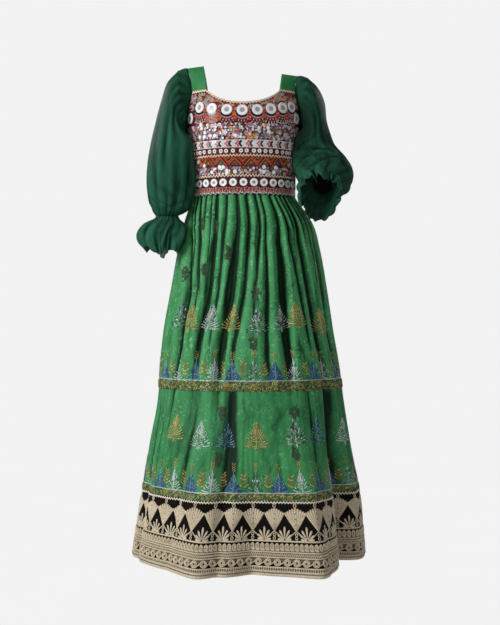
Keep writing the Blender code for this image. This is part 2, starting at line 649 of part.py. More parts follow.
def build_sleeve(name, side, rings, strap):
    edge, edge_turn = armhole_ring(side, strap)
    count = len(edge)
    number = np.arange(count)
    even = edge_turn[0] + 2 * math.pi * number / count
    frames = ring_frames(rings, (0, 0, 1))
    grid = []
    for k, (centre, axis, up, across, up_half, front_half, fold) in enumerate(frames):
        blend = min(1.0, (k + 1) / 4)
        turn = edge_turn * (1 - blend) + even * blend
        crest = np.where(number % 2 == 0, 1.0, -1.0) * (0.7 + 0.3 * np.sin(1.9 * number + 0.4 * k))
        reach = 1 + crest * fold / ((up_half + front_half) / 2)
        forward = side * across
        ring = centre + (np.outer(np.cos(turn) * up_half * reach, up)
                         + np.outer(np.sin(turn) * front_half * reach, forward))
        grid.append(clear_of_body(ring, side))
    grid = np.stack(grid)
    out = outward_normals(grid, True, grid.mean(axis=1, keepdims=True))
    square_end(out, -1, frames[-1][1])
    inner = grid - out * CHIFFON_WALL
    stand = edge + np.array([side * ARMHOLE_STANDOFF, 0, 0])
    away = np.stack([np.zeros(count), -np.sin(edge_turn), np.cos(edge_turn)], axis=-1)
    outer = np.concatenate([[stand + away * CHIFFON_WALL], grid])
    inner = np.concatenate([[stand], inner])
    make_wall("sleeve_" + name, outer, inner, True, CHIFFON)


def build_ruffle(name, side, rings, wrist):
    # A frill that starts 0.3 mm past the sleeve's last ring and waves at its free edge
    centre, axis, side_half, front_half, fold = wrist
    axis = np.array(axis) / np.linalg.norm(axis)
    start = (tuple(np.array(centre) + axis * SEAM_GAP), tuple(axis), side_half, front_half, fold)
    frames = ring_frames((start,) + rings, (side, 0, 0))
    turn = 2 * math.pi * np.arange(RUFFLE_COLUMNS) / RUFFLE_COLUMNS
    grid = []
    for k, (middle, axis, up, across, up_half, front_half, fold) in enumerate(frames):
        wave = np.cos(RUFFLE_WAVES * turn + 0.5 * np.sin(2 * turn))
        reach = 1 + wave * fold / ((up_half + front_half) / 2)
        droop = 0.010 * (k / (len(frames) - 1)) ** 2 * np.sin(2 * turn + 0.8)
        forward = side * across
        ring = (middle + np.outer(np.cos(turn) * up_half * reach, up)
                + np.outer(np.sin(turn) * front_half * reach, forward) + np.outer(droop, axis))
        grid.append(clear_of_body(ring, side) if k > 0 else ring)
    grid = np.stack(grid)
    out = outward_normals(grid, True, grid.mean(axis=1, keepdims=True))
    square_end(out, 0, frames[0][1])
    make_wall("cuff_ruffle_" + name, grid, grid - out * CHIFFON_WALL, True, CHIFFON)


def build_disc(name, size, angle, z):
    # A flat round plate with a sunk middle, tangent to the bodice's outer face
    radius, mirror_radius, thickness, sides = size
    centre, out = body_section(BODICE_LEVELS, np.array(float(angle)), z)
    above = body_section(BODICE_LEVELS, np.array(float(angle)), z + radius)[0]
    up = (above - centre) / np.linalg.norm(above - centre)
    across = np.cross(up, out)
    across /= np.linalg.norm(across)
    out = np.cross(across, up)
    profile = ((radius, SEAM_GAP), (radius, SEAM_GAP + thickness),
               (mirror_radius, SEAM_GAP + thickness - DISC_DISH))
    points = []
    for reach, lift in profile:
        for k in range(sides):
            turn = 2 * math.pi * (k + 0.5) / sides
            points.append(centre + (across * math.cos(turn) + up * math.sin(turn)) * reach + out * lift)
    faces = [list(reversed(range(sides))), list(range(2 * sides, 3 * sides))]
    for ring in range(2):
        for k in range(sides):
            nxt = (k + 1) % sides
            faces.append((ring * sides + k, ring * sides + nxt,
                          (ring + 1) * sides + nxt, (ring + 1) * sides + k))
    make_object(name, points, faces, DISC_SHELL)


def build_discs():
    for number, angle in enumerate(BIG_DISC_ANGLES):
        rise = (abs(angle) / BIG_DISC_ANGLES[-1]) ** 1.6
        z = BIG_DISC_LOW_Z + (BIG_DISC_SIDE_Z - BIG_DISC_LOW_Z) * rise
        build_disc("disc_upper_" + str(number + 1), BIG_DISC, angle, z)
    build_disc("disc_side_right", BIG_DISC, -SIDE_DISC_ANGLE, SIDE_DISC_Z)
    build_disc("disc_side_left", BIG_DISC, SIDE_DISC_ANGLE, SIDE_DISC_Z)
    for number in range(SMALL_DISC_COUNT):
        angle = (number - (SMALL_DISC_COUNT - 1) / 2) * SMALL_DISC_STEP
        build_disc("disc_lower_" + str(number + 1), SMALL_DISC, angle, SMALL_DISC_Z)


build_skirt()
build_border()
build_bodice()
build_discs()
for wearer_side, (side_sign, near_x, far_x, shoulder_z) in STRAP_TOPS.items():
    build_strap(wearer_side, side_sign, near_x, far_x, shoulder_z)
    strap_points = strap_grid(side_sign, near_x, far_x, shoulder_z)
    sleeve_rings = LEFT_SLEEVE if wearer_side == "left" else RIGHT_SLEEVE
    ruffle_rings = LEFT_RUFFLE if wearer_side == "left" else RIGHT_RUFFLE
    build_sleeve(wearer_side, side_sign, sleeve_rings, strap_points)
    build_ruffle(wearer_side, side_sign, ruffle_rings, sleeve_rings[-1])
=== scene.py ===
import math

import bpy
import numpy as np
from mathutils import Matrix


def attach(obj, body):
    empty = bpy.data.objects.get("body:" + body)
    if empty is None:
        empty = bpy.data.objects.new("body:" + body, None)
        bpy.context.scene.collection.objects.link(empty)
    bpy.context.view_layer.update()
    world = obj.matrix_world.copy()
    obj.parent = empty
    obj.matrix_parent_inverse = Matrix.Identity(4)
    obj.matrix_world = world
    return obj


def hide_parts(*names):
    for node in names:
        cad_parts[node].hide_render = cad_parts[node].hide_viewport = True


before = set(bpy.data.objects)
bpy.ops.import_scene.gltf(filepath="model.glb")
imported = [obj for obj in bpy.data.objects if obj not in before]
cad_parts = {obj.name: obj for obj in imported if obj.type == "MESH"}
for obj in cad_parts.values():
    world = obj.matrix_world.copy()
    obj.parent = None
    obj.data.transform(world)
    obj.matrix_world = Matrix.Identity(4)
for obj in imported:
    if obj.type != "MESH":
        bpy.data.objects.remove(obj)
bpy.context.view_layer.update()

rng = np.random.default_rng(11)
mm = 0.001

# Heights, outlines and folds of the dress, the same as in the part
strapBaseZ, neckLowZ, backNeckLowZ, underarmZ = -0.066, -0.103, -0.085, -0.172
waistZ, upperSeamZ, borderTopZ, hemZ = -0.34, -0.832, -1.105, -1.278
seamGap, bandHeight = 0.0003, 0.016
satinWall, bodiceWall, borderWall, chiffonWall, strapWall = 0.0012, 0.0022, 0.0024, 0.0008, 0.0018
braidWall, beadWall, bodyClear, discLift, floorZ = 0.0006, 0.00055, 0.0045, 0.0006, -1.354
strapInner, strapOuter = 41.0, 67.0
bodiceLevels = np.array([
    (-0.066, -0.145, 0.148, 0.092, 0.085),
    (-0.12, -0.147, 0.15, 0.108, 0.096),
    (-0.17, -0.146, 0.149, 0.114, 0.098),
    (-0.22, -0.141, 0.144, 0.112, 0.094),
    (-0.28, -0.136, 0.14, 0.105, 0.089),
    (-0.34, -0.134, 0.1386, 0.1, 0.086),
])
skirtLevels = np.array([
    (-0.34, -0.134, 0.1386, 0.1, 0.088),
    (-0.411, -0.157, 0.186, 0.125, 0.108),
    (-0.477, -0.172, 0.204, 0.14, 0.12),
    (-0.583, -0.191, 0.2226, 0.155, 0.135),
    (-0.689, -0.21, 0.2386, 0.168, 0.148),
    (-0.782, -0.219, 0.2545, 0.18, 0.156),
    (-0.872, -0.225, 0.2658, 0.19, 0.163),
    (-0.984, -0.246, 0.2836, 0.205, 0.174),
    (-1.105, -0.265, 0.3061, 0.222, 0.186),
    (-1.283, -0.292, 0.322, 0.272, 0.205),
])
# Each fold: angle at the six heights, depth in mm there, half width in mm, lean
upperHeights = (-0.34, -0.46, -0.6, -0.75, -0.85, -0.95)
upperFolds = (
    ((-70, -56, -50, -53, -56, -56), (4, 9, 13, 12, 5, 0), 12, 0.3),
    ((-54, -44, -40, -43, -45, -45), (5, 7, 2, 0, 0, 0), 9, 0.2),
    ((-30, -28, -29, -35, -37, -37), (5, 10, 13, 12, 4, 0), 11, -0.3),
    ((-19, -22, -23, -27, -28, -28), (5, 8, 8, 2, 0, 0), 9, 0.2),
    ((-8, -11, -14, -20, -21, -21), (5, 11, 16, 16, 5, 0), 12, 0.4),
    ((3, 0, -3, -10, -11, -11), (5, 8, 9, 5, 1, 0), 10, -0.2),
    ((12, 8, 4, 2, 2, 2), (5, 8, 4, 0, 0, 0), 9, 0.2),
    ((19, 14, 14, 12, 12, 12), (4, 6, 9, 6, 0, 0), 10, -0.3),
    ((29, 24, 24, 25, 25, 25), (6, 14, 20, 16, 2, 0), 13, 0.45),
    ((37, 36, 41, 44, 44, 44), (5, 9, 7, 1, 0, 0), 9, -0.2),
    ((49, 45, 49, 53, 55, 56), (5, 11, 15, 16, 10, 0), 13, 0.35),
    ((70, 68, 68, 69, 70, 70), (4, 8, 8, 5, 2, 0), 12, 0.2),
    ((107, 106, 104, 103, 103, 103), (5, 9, 12, 9, 3, 0), 12, -0.3),
    ((126, 125, 126, 128, 128, 128), (5, 11, 14, 13, 5, 0), 13, 0.3),
    ((144, 143, 141, 139, 139, 139), (5, 8, 7, 2, 0, 0), 10, 0.2),
    ((160, 161, 158, 156, 155, 155), (6, 12, 17, 14, 4, 0), 12, -0.4),
    ((178, 178, 180, 181, 181, 181), (5, 9, 10, 8, 2, 0), 11, 0.3),
    ((196, 197, 200, 202, 203, 203), (6, 11, 15, 15, 6, 0), 13, 0.4),
    ((214, 215, 217, 219, 219, 219), (5, 8, 6, 1, 0, 0), 10, -0.2),
    ((232, 233, 232, 231, 230, 230), (5, 11, 15, 12, 4, 0), 12, -0.3),
    ((251, 252, 254, 255, 255, 255), (5, 9, 11, 9, 3, 0), 12, 0.3),
)
lowerHeights = (-0.79, -0.85, -0.93, -1.01, -1.105, -1.28)
lowerFolds = (
    ((-74, -74, -74, -73, -72, -72), (0, 2, 5, 7, 8, 8), 22, 0.2),
    ((-32, -33, -34, -36, -38, -40), (0, 4, 7, 7, 4, 2), 14, -0.4),
    ((-10, -11, -12, -13, -14, -14), (0, 6, 12, 14, 13, 10), 18, 0.3),
    ((-3, -3, -3, -2, 0, 1), (0, 2, 3, 4, 6, 14), 34, 0.1),
    ((37, 37, 38, 37, 36, 36), (0, 3, 5, 5, 4, 3), 14, 0.2),
    ((56, 57, 57, 57, 57, 58), (0, 8, 18, 28, 40, 56), 44, 0.1),
    ((76, 76, 77, 78, 78, 78), (0, 1, 3, 3, 2, 0), 16, 0.2),
    ((104, 104, 104, 105, 106, 106), (0, 3, 8, 12, 15, 18), 27, -0.2),
    ((129, 129, 130, 131, 132, 132), (0, 5, 10, 13, 16, 20), 28, 0.2),
    ((156, 156, 156, 155, 154, 154), (0, 4, 10, 14, 18, 22), 30, -0.2),
    ((182, 182, 181, 180, 180, 180), (0, 2, 6, 9, 12, 16), 26, 0.2),
    ((204, 204, 205, 206, 206, 206), (0, 6, 12, 15, 18, 22), 30, 0.2),
    ((230, 230, 230, 231, 232, 232), (0, 4, 9, 13, 16, 18), 27, -0.2),
    ((254, 254, 254, 255, 256, 256), (0, 3, 8, 10, 12, 12), 24, 0.2),
)
lowerLobes = (
    ((-21,) * 6, (0, 0, -3, -8, -18, -38), 80, 0.0),
    ((29,) * 6, (0, 0, -4, -10, -24, -50), 72, 0.0),
)
sideSeams = (-90.0, 90.0, 270.0)
gather = {"step": 8.0, "depth": 0.0075, "width": 1.7, "shortest": 0.12, "spread": 0.17}
rightSleeve = np.array([
    (-0.164, -0.002, -0.093, -1.0, 0.0, -0.09, 0.0875, 0.062, 3.0),
    (-0.177, -0.006, -0.114, -0.97, 0.0, -0.26, 0.081, 0.067, 4.5),
    (-0.18, -0.014, -0.145, -0.87, 0.0, -0.49, 0.0685, 0.066, 4.0),
    (-0.184, -0.022, -0.181, -0.68, -0.03, -0.73, 0.06, 0.063, 3.5),
    (-0.188, -0.032, -0.224, -0.41, -0.04, -0.91, 0.0575, 0.06, 3.5),
    (-0.192, -0.041, -0.272, -0.17, -0.06, -0.98, 0.058, 0.06, 3.5),
    (-0.194, -0.047, -0.315, -0.07, -0.06, -1.0, 0.056, 0.058, 4.0),
    (-0.195, -0.052, -0.355, 0.0, -0.05, -1.0, 0.049, 0.049, 4.0),
    (-0.196, -0.055, -0.381, 0.0, -0.03, -1.0, 0.038, 0.037, 3.0),
    (-0.197, -0.056, -0.393, 0.0, 0.0, -1.0, 0.032, 0.031, 1.6),
])
leftSleeve = np.array([
    (0.162, -0.002, -0.102, 0.99, 0.0, -0.11, 0.0785, 0.062, 2.5),
    (0.175, -0.006, -0.119, 0.96, 0.0, -0.3, 0.0725, 0.066, 3.5),
    (0.184, -0.012, -0.144, 0.87, 0.0, -0.5, 0.062, 0.064, 3.0),
    (0.187, -0.02, -0.179, 0.7, -0.05, -0.71, 0.049, 0.06, 2.5),
    (0.192, -0.032, -0.217, 0.28, -0.22, -0.95, 0.05, 0.06, 3.0),
    (0.213, -0.05, -0.262, 0.1, -0.55, -0.83, 0.062, 0.061, 4.5),
    (0.222, -0.083, -0.29, -0.08, -0.84, -0.53, 0.062, 0.06, 4.5),
    (0.217, -0.118, -0.308, -0.24, -0.92, -0.32, 0.056, 0.054, 4.0),
    (0.205, -0.147, -0.318, -0.32, -0.9, -0.28, 0.042, 0.04, 3.0),
    (0.199, -0.16, -0.322, -0.32, -0.9, -0.28, 0.032, 0.031, 1.6),
])
rightRuffle = np.array([
    (-0.197, -0.056, -0.3933, 0.0, 0.0, -1.0, 0.032, 0.031, 1.6),
    (-0.197, -0.056, -0.4015, 0.0, 0.0, -1.0, 0.035, 0.034, 2.0),
    (-0.203, -0.056, -0.417, 0.0, 0.0, -1.0, 0.052, 0.046, 5.0),
    (-0.211, -0.056, -0.44, 0.05, 0.0, -1.0, 0.058, 0.051, 8.0),
    (-0.211, -0.056, -0.464, 0.12, 0.0, -0.99, 0.053, 0.048, 10.0),
    (-0.206, -0.056, -0.488, 0.18, 0.0, -0.98, 0.04, 0.04, 9.0),
])
leftRuffle = np.array([
    (0.1989, -0.1603, -0.3221, -0.32, -0.9, -0.28, 0.032, 0.031, 1.6),
    (0.1964, -0.1672, -0.3242, -0.32, -0.9, -0.28, 0.035, 0.034, 2.0),
    (0.192, -0.18, -0.329, -0.3, -0.92, -0.26, 0.048, 0.056, 5.0),
    (0.189, -0.196, -0.335, -0.25, -0.94, -0.24, 0.055, 0.07, 8.0),
    (0.188, -0.214, -0.341, -0.2, -0.95, -0.22, 0.055, 0.074, 9.0),
    (0.188, -0.232, -0.345, -0.15, -0.97, -0.2, 0.05, 0.068, 9.0),
])
strapTops = {"right": (-1, -0.104, -0.147, 0.01), "left": (1, 0.103, 0.146, -0.011)}


def hermite(start, end, leave, arrive, t):
    return ((1 + 2 * t) * (1 - t) ** 2 * start + t * (1 - t) ** 2 * leave
            + t * t * (3 - 2 * t) * end + t * t * (t - 1) * arrive)


def smoothColumn(levels, z, column):
    heights, values = -levels[:, 0], levels[:, column]
    slopes = np.gradient(values, heights)
    depth = np.clip(-np.asarray(z, dtype=float), heights[0], heights[-1])
    right = np.clip(np.searchsorted(heights, depth), 1, len(heights) - 1)
    left = right - 1
    span = heights[right] - heights[left]
    return hermite(values[left], values[right], span * slopes[left], span * slopes[right],
                   (depth - heights[left]) / span)


def bodySection(levels, angle, z):
    # Point and outward direction on the plain outline, angle in degrees from the front
    turn = np.radians(angle)
    left, right, front, back = (smoothColumn(levels, z, column) for column in (1, 2, 3, 4))
    half = (right - left) / 2
    depth = np.where(np.cos(turn) >= 0, front, back)
    point = np.stack([(left + right) / 2 + half * np.sin(turn), -depth * np.cos(turn),
                      np.broadcast_to(z, np.shape(turn))], axis=-1)
    out = np.stack([np.sin(turn) / half, -np.cos(turn) / depth, np.zeros(np.shape(turn))], axis=-1)
    return point, out / np.linalg.norm(out, axis=-1, keepdims=True)


def bell(x):
    return np.exp(-x ** 2)


def clamp(x):
    return np.clip(x, 0, 1)


def anglesApart(first, second):
    return (first - second + 180.0) % 360.0 - 180.0


def foldShape(folds, heights, angle, z, girth, narrow):
    # How far the folds go in and how far their rims lean over, in metres
    inward, aside = np.zeros(angle.shape), np.zeros(angle.shape)
    drops = [-height for height in heights]
    for angles, depths, width, lean in folds:
        middle = np.interp(-z, drops, angles)
        depth = np.interp(-z, drops, depths) * mm
        reach = np.radians(anglesApart(angle, middle)) * girth / (width * mm * narrow)
        soft = bell(reach)
        core = np.exp(-np.abs(reach / 0.5) ** 1.6)
        inward += depth * (0.85 * soft + 0.62 * core)
        aside += lean * depth * bell(reach - 0.6 * np.sign(lean))
    return inward, aside


def mainLines(step):
    # Side seams and main folds, in order, at one of the six heights
    return np.array(sorted(list(sideSeams) + [fold[0][step] for fold in upperFolds]), dtype=float)


def gatherLines():
    # The main folds' places at the waist, and even small gathers between them
    main, small = list(mainLines(0)), []
    for first, second in zip(main[:-1], main[1:]):
        pieces = max(1, round((second - first) / gather["step"]))
        small += [first + (second - first) * k / pieces for k in range(1, pieces)]
    return main, small


waistMain, waistSmall = gatherLines()


def lineAngle(line, z):
    # The angle that a line drawn down from the waist has reached at height z
    drops = [-height for height in upperHeights]
    steps = np.array([mainLines(step) for step in range(len(upperHeights))])
    here = [np.interp(-z, drops, steps[:, k]) for k in range(steps.shape[1])]
    return np.interp(line, waistMain, here)


def gatherDepth(line, z):
    total = np.zeros(line.shape)
    for number, middle in enumerate(waistSmall):
        length = gather["shortest"] + gather["spread"] * (0.5 + 0.5 * math.sin(2.3 * number))
        fade = clamp(1 - (waistZ - z) / length)
        reach = anglesApart(line, middle) / gather["width"]
        total += gather["depth"] * fade ** 0.8 * np.exp(-np.abs(reach) ** 1.5)
    return total


def ripples(across, down, seed, shortest, count=5):
    # Soft uneven creases that run down the cloth: a few sines whose phase wanders
    local = np.random.default_rng(seed)
    total = np.zeros(across.shape)
    for k in range(count):
        length = shortest * (1 + 0.75 * k)
        phase, drift, swell = local.uniform(0, 2 * math.pi, 3)
        wander = 0.55 * np.sin(down / (0.09 + 0.03 * k) + drift) + 0.9 * down / 0.3
        patch = 0.5 + 0.5 * np.sin(across / (0.035 + 0.012 * k) + down / 0.11 + swell)
        total += patch ** 1.5 * np.sin(2 * math.pi * across / length + phase + wander) / (1 + 0.2 * k)
    return total / math.sqrt(count)


def creases(across, down, table):
    # Troughs, or ridges where the depth is below zero, along short given lines
    total = np.zeros(across.shape)
    for x0, z0, x1, z1, depth, width in table:
        run, fall = x1 - x0, z1 - z0
        length = math.hypot(run, fall)
        along = ((across - x0) * run + (down - z0) * fall) / length
        off = ((across - x0) * fall - (down - z0) * run) / length
        off = off + 0.12 * width * mm * np.sin(along / 0.013)
        ends = clamp(along / (0.3 * length)) * clamp((length - along) / (0.3 * length))
        total += depth * mm * ends ** 0.7 * bell(off / (width * mm))
    return total


# Creases on the front, as angle times a mean radius of 0.2 m, and height
upperCreases = (
    (-0.15, -0.52, -0.115, -0.64, 2.2, 7), (-0.085, -0.6, -0.12, -0.72, 1.8, 8),
    (0.01, -0.56, 0.034, -0.65, 1.6, 6), (0.06, -0.69, 0.03, -0.79, 2.0, 8),
    (0.125, -0.56, 0.158, -0.66, 2.0, 7), (0.11, -0.7, 0.15, -0.8, 2.6, 9),
    (0.215, -0.52, 0.19, -0.64, 2.2, 8), (-0.19, -0.69, -0.15, -0.79, 1.8, 8),
    (0.24, -0.65, 0.215, -0.78, 2.4, 9), (-0.045, -0.72, -0.02, -0.805, -1.4, 7),
)
lowerCreases = (
    (0.085, -0.865, 0.055, -0.925, 2.6, 7), (-0.12, -0.87, -0.15, -0.98, 2.4, 9),
    (-0.085, -1.0, -0.08, -1.075, 2.2, 5), (0.12, -0.9, 0.15, -1.0, 2.0, 9),
    (0.04, -0.96, 0.062, -1.06, 1.8, 8), (-0.2, -0.9, -0.18, -1.01, 2.2, 9),
    (-0.17, -1.0, -0.15, -1.08, 1.6, 7), (0.01, -0.88, -0.01, -0.96, 1.6, 8),
    (0.235, -0.88, 0.255, -1.02, 2.0, 10), (0.2, -0.98, 0.222, -1.08, -1.8, 9),
)


def puckers(across, z, seam, seed):
    # Small tucks that a sewn seam pulls into the cloth on both sides of it
    near = np.exp(-np.abs(z - seam) / 0.011)
    uneven = 0.6 + 0.4 * np.sin(across / 0.021 + seed)
    return near * uneven * np.sin(2 * math.pi * across / 0.0075 + 1.7 * np.sin(across / 0.03 + seed))


def skirtSurface(angle, z, line=None, detail=1.0):
    # Outer face of the skirt with all its folds, and the plain way out of it
    point, out = bodySection(skirtLevels, angle, z)
    girth = np.hypot(point[..., 0], point[..., 1])
    full = clamp((waistZ - z) / 0.2)
    inward, aside = foldShape(upperFolds, upperHeights, angle, z, girth, 0.38 + 0.62 * full)
    more, lower = foldShape(lowerFolds + lowerLobes, lowerHeights, angle, z, girth, 1.0)
    inward, aside = inward + more, aside + lower
    if line is not None:
        inward = inward + gatherDepth(line, z)
    across = np.radians(anglesApart(angle, 0)) * 0.2
    mirrored = np.radians(anglesApart(angle, 180)) * -0.2
    fade = np.clip((waistZ - z) / 0.05, 0.2, 1)
    free = np.clip((borderTopZ - z + 0.02) / -0.03, 0.12, 1)
    fine = 1.1 * ripples(across * 1.1, z, 3, 0.0105) * fade * free
    fine += 0.9 * puckers(across, z, upperSeamZ, 2.0) + 0.7 * puckers(across, z, borderTopZ, 5.0)
    fine += 1000 * creases(across, z, upperCreases + lowerCreases)
    fine += 1000 * creases(mirrored, z, upperCreases + lowerCreases)
    inward = inward + detail * fine * mm
    tangent = np.stack([-out[..., 1], out[..., 0], np.zeros(z.shape)], axis=-1)
    return point - out * inward[..., None] + tangent * (detail * aside)[..., None], out


def evenSpots(first, last, count, z, line):
    # Columns that step evenly along the folded cloth at height z
    fine = np.linspace(first, last, 2881)
    height = np.full(fine.shape, z)
    points = skirtSurface(lineAngle(fine, z) if line else fine, height, detail=0.0)[0]
    length = np.concatenate([[0], np.cumsum(stepLengths(points, 0))])
    return np.interp(np.linspace(0, length[-1], count), length, fine)


def unit(ways):
    return ways / (np.linalg.norm(ways, axis=-1, keepdims=True) + 1e-12)


def stepLengths(points, axis):
    return np.linalg.norm(np.diff(points, axis=axis), axis=-1)


# The camera, its picture's size and the dress's scale in it
camera = {"place": (0.0186, -3.0, -0.643), "lens": 65.2, "metresPerPixel": 0.00265, "picture": (500, 625)}


class Cloth:
    # A fine grid of points, rows down and columns across, on which things are laid
    def __init__(self, points, inside=None, closed=False):
        self.points, self.closed = points, closed
        self.rows, self.columns = points.shape[:2]
        start = np.zeros((self.rows, 1))
        self.along = np.concatenate([start, np.cumsum(stepLengths(points, 1), axis=1)], axis=1)
        self.down = np.concatenate([[0], np.cumsum(stepLengths(points, 0).mean(axis=1))])
        # A cloth without a middle of its own faces away from the dress's upright axis
        inside = points * [0.0, 0.0, 1.0] if inside is None else inside
        across = np.gradient(points, axis=1)
        if closed:
            across = np.roll(points, -1, axis=1) - np.roll(points, 1, axis=1)
        normal = unit(np.cross(np.gradient(points, axis=0), across))
        self.out = normal if np.sum(normal * (points - inside)) > 0 else -normal

    def at(self, row, column):
        row = np.clip(row, 0, self.rows - 1.001)
        column = np.clip(column, 0, self.columns - 1.001)
        r, c = row.astype(int), column.astype(int)
        fr, fc = (row - r)[..., None], (column - c)[..., None]

        def mix(grid):
            top = grid[r, c] * (1 - fc) + grid[r, c + 1] * fc
            low = grid[r + 1, c] * (1 - fc) + grid[r + 1, c + 1] * fc
            return top * (1 - fr) + low * fr
        return mix(self.points), unit(mix(self.out))

    def spot(self, px, py):
        # The row and column that the camera sees at a pixel of its picture
        (x, y, z), (wide, high) = camera["place"], camera["picture"]
        size = camera["metresPerPixel"] * (self.points[..., 1] - y) / -y
        offX = (self.points[..., 0] - x) / size - (px - wide / 2)
        offY = (self.points[..., 2] - z) / size + (py - high / 2)
        gap = offX ** 2 + offY ** 2 + 400.0 * (self.out[..., 1] > -0.05)    # 400 keeps hidden points out
        return np.unravel_index(np.argmin(gap), gap.shape)

    def lay(self, row, column, across, down):
        # Rows and columns so many metres across and down from a spot
        start = np.interp(row, np.arange(self.rows), self.down)
        rows = np.interp(start + down, self.down, np.arange(self.rows))
        whole = np.floor(rows).astype(int)
        columns = np.empty(rows.shape)
        for r in np.unique(whole):
            pick = whole == r
            target = self.along[r, column] + across[pick]
            columns[pick] = np.interp(target, self.along[r], np.arange(self.columns))
        return rows, columns


class Pile:
    # Many small shapes that are joined into one mesh
    def __init__(self, name):
        self.name, self.points, self.faces, self.finishes, self.used = name, [], [], [], []
        self.count = 0

    def add(self, points, faces, finish):
        # points: number of shapes, points of one, 3; faces: triangles of one shape
        shapes, each = points.shape[:2]
        if finish not in self.used:
            self.used.append(finish)
        start = self.count + np.arange(shapes)[:, None, None] * each
        self.faces.append((start + np.asarray(faces)[None]).reshape(-1, 3))
        self.points.append(points.reshape(-1, 3))
        self.finishes.append(np.full(len(self.faces[-1]), self.used.index(finish)))
        self.count += shapes * each

    def build(self, materials, slot, replaced=()):
        mesh = bpy.data.meshes.new(self.name)
        mesh.from_pydata(np.concatenate(self.points), [], np.concatenate(self.faces))
        mesh.polygons.foreach_set("material_index", np.concatenate(self.finishes).astype(np.int32))
        for finish in self.used:
            mesh.materials.append(materials[finish])
        mesh.shade_smooth()
        return place(self.name, mesh, slot, replaced)


def place(name, mesh, slot, replaced):
    made = bpy.data.objects.new(name, mesh)
    bpy.context.scene.collection.objects.link(made)
    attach(made, "root")
    if replaced:
        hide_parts(*replaced)
    print(name, len(mesh.polygons), flush=True)
    return made


def gridQuads(grid, flip, width=4):
    a, b, c, d = grid[:-1, :-1], grid[:-1, 1:], grid[1:, 1:], grid[1:, :-1]
    return np.stack([a, b, c, d] if flip else [a, d, c, b], axis=2).reshape(-1, width)


def hollowShade(cloth, reach, deep, down=False):
    # How far each point lies below its neighbourhood along or down the cloth, from 0 to 1
    points, out, closed = cloth.points, cloth.out, cloth.closed and not down
    if down:
        points, out = points.swapaxes(0, 1), out.swapaxes(0, 1)
    padded = np.concatenate([points] * 3, axis=1) if closed else points
    step = stepLengths(padded, 1).mean()
    half = max(2, int(reach / step))
    sums = np.cumsum(np.pad(padded, ((0, 0), (half + 1, half), (0, 0)), mode="edge"), axis=1)
    mean = (sums[:, 2 * half + 1:] - sums[:, :-2 * half - 1]) / (2 * half + 1)
    if closed:
        mean = mean[:, cloth.columns:2 * cloth.columns]
    shade = clamp(np.sum((mean - points) * out, axis=-1) / deep)
    return shade.swapaxes(0, 1) if down else shade


def wall(name, cloth, thickness, materials, slot, replaced, marks=None, shadow=0.0):
    # A thin shell on a grid, with its length in metres as UV, and painted shade in its hollows
    # and painted highlight on its crests as marks; with a flat cut in the table its measurements are printed
    # too
    outer, closed = cloth.points, cloth.closed
    ids = np.arange(2 * cloth.rows * cloth.columns).reshape(2, cloth.rows, cloth.columns)
    uv = np.stack([cloth.along, np.broadcast_to(cloth.down[:, None], cloth.along.shape)], axis=-1)
    if closed:
        last = np.linalg.norm(outer[:, :1] - outer[:, -1:], axis=-1)
        ids = np.concatenate([ids, ids[:, :, :1]], axis=2)
        extra = np.stack([cloth.along[:, -1:] + last, cloth.down[:, None]], axis=-1)
        uv = np.concatenate([uv, extra], axis=1)
    every = slice(None)
    rims = [(0, every, True), (-1, every, False)] + ([] if closed else [(every, 0, False), (every, -1, True)])
    parts = [(ids[0], False, uv), (ids[1], True, uv)]
    parts += [(ids[:, row, column], flip, np.stack([uv[row, column]] * 2)) for row, column, flip in rims]
    faces = np.concatenate([gridQuads(part, flip) for part, flip, spots in parts])
    corners = np.concatenate([gridQuads(spots, flip, 2) for part, flip, spots in parts])
    points = np.concatenate([outer.reshape(-1, 3), (outer - cloth.out * thickness).reshape(-1, 3)])
    facing = (cloth.out[:-1] if closed else cloth.out[:-1, :-1]).reshape(-1, 3)
    corner = points[faces[:len(facing)]]
    if np.sum(np.cross(corner[:, 2] - corner[:, 0], corner[:, 3] - corner[:, 1]) * facing) < 0:
        faces = faces[:, ::-1]
        corners = corners.reshape(-1, 4, 2)[:, ::-1].reshape(-1, 2)
    mesh = bpy.data.meshes.new(name)
    mesh.from_pydata(points, [], faces)
    layer = mesh.uv_layers.new(name="UVMap")
    layer.data.foreach_set("uv", corners.astype(np.float32).ravel())
    # Marks that the finishes mix into their colours: painted shade in the hollows, with the given shadows,
    # and a painted highlight on the crests
    near, far = hollowShade(cloth, 0.008, 0.0017), hollowShade(cloth, 0.028, 0.008)
    wide = 0.55 * hollowShade(cloth, 0.055, 0.016)
    given = {"paintedShade": np.maximum.reduce([0.85 * near, far, wide, np.broadcast_to(shadow, near.shape)]),
             "crest": hollowShade(cloth, 0.02, -0.005)}
    given.update(marks or {})
    for mark, values in given.items():
        data = mesh.attributes.new(mark, "FLOAT", "POINT")
        data.data.foreach_set("value", np.concatenate([values.ravel()] * 2).astype(np.float32))
    for material in materials:
        mesh.materials.append(material)
    mesh.shade_smooth()
    mesh.update()
    made = place(name, mesh, slot, replaced)
    if name in cuts:
        sheet(made, cloth)
    return made


def stripFaces(steps):
    # Triangles of a strip that is three points wide
    quads = gridQuads(np.arange(steps * 3).reshape(steps, 3), True)
    return np.concatenate([quads[:, [0, 1, 2]], quads[:, [0, 2, 3]]])


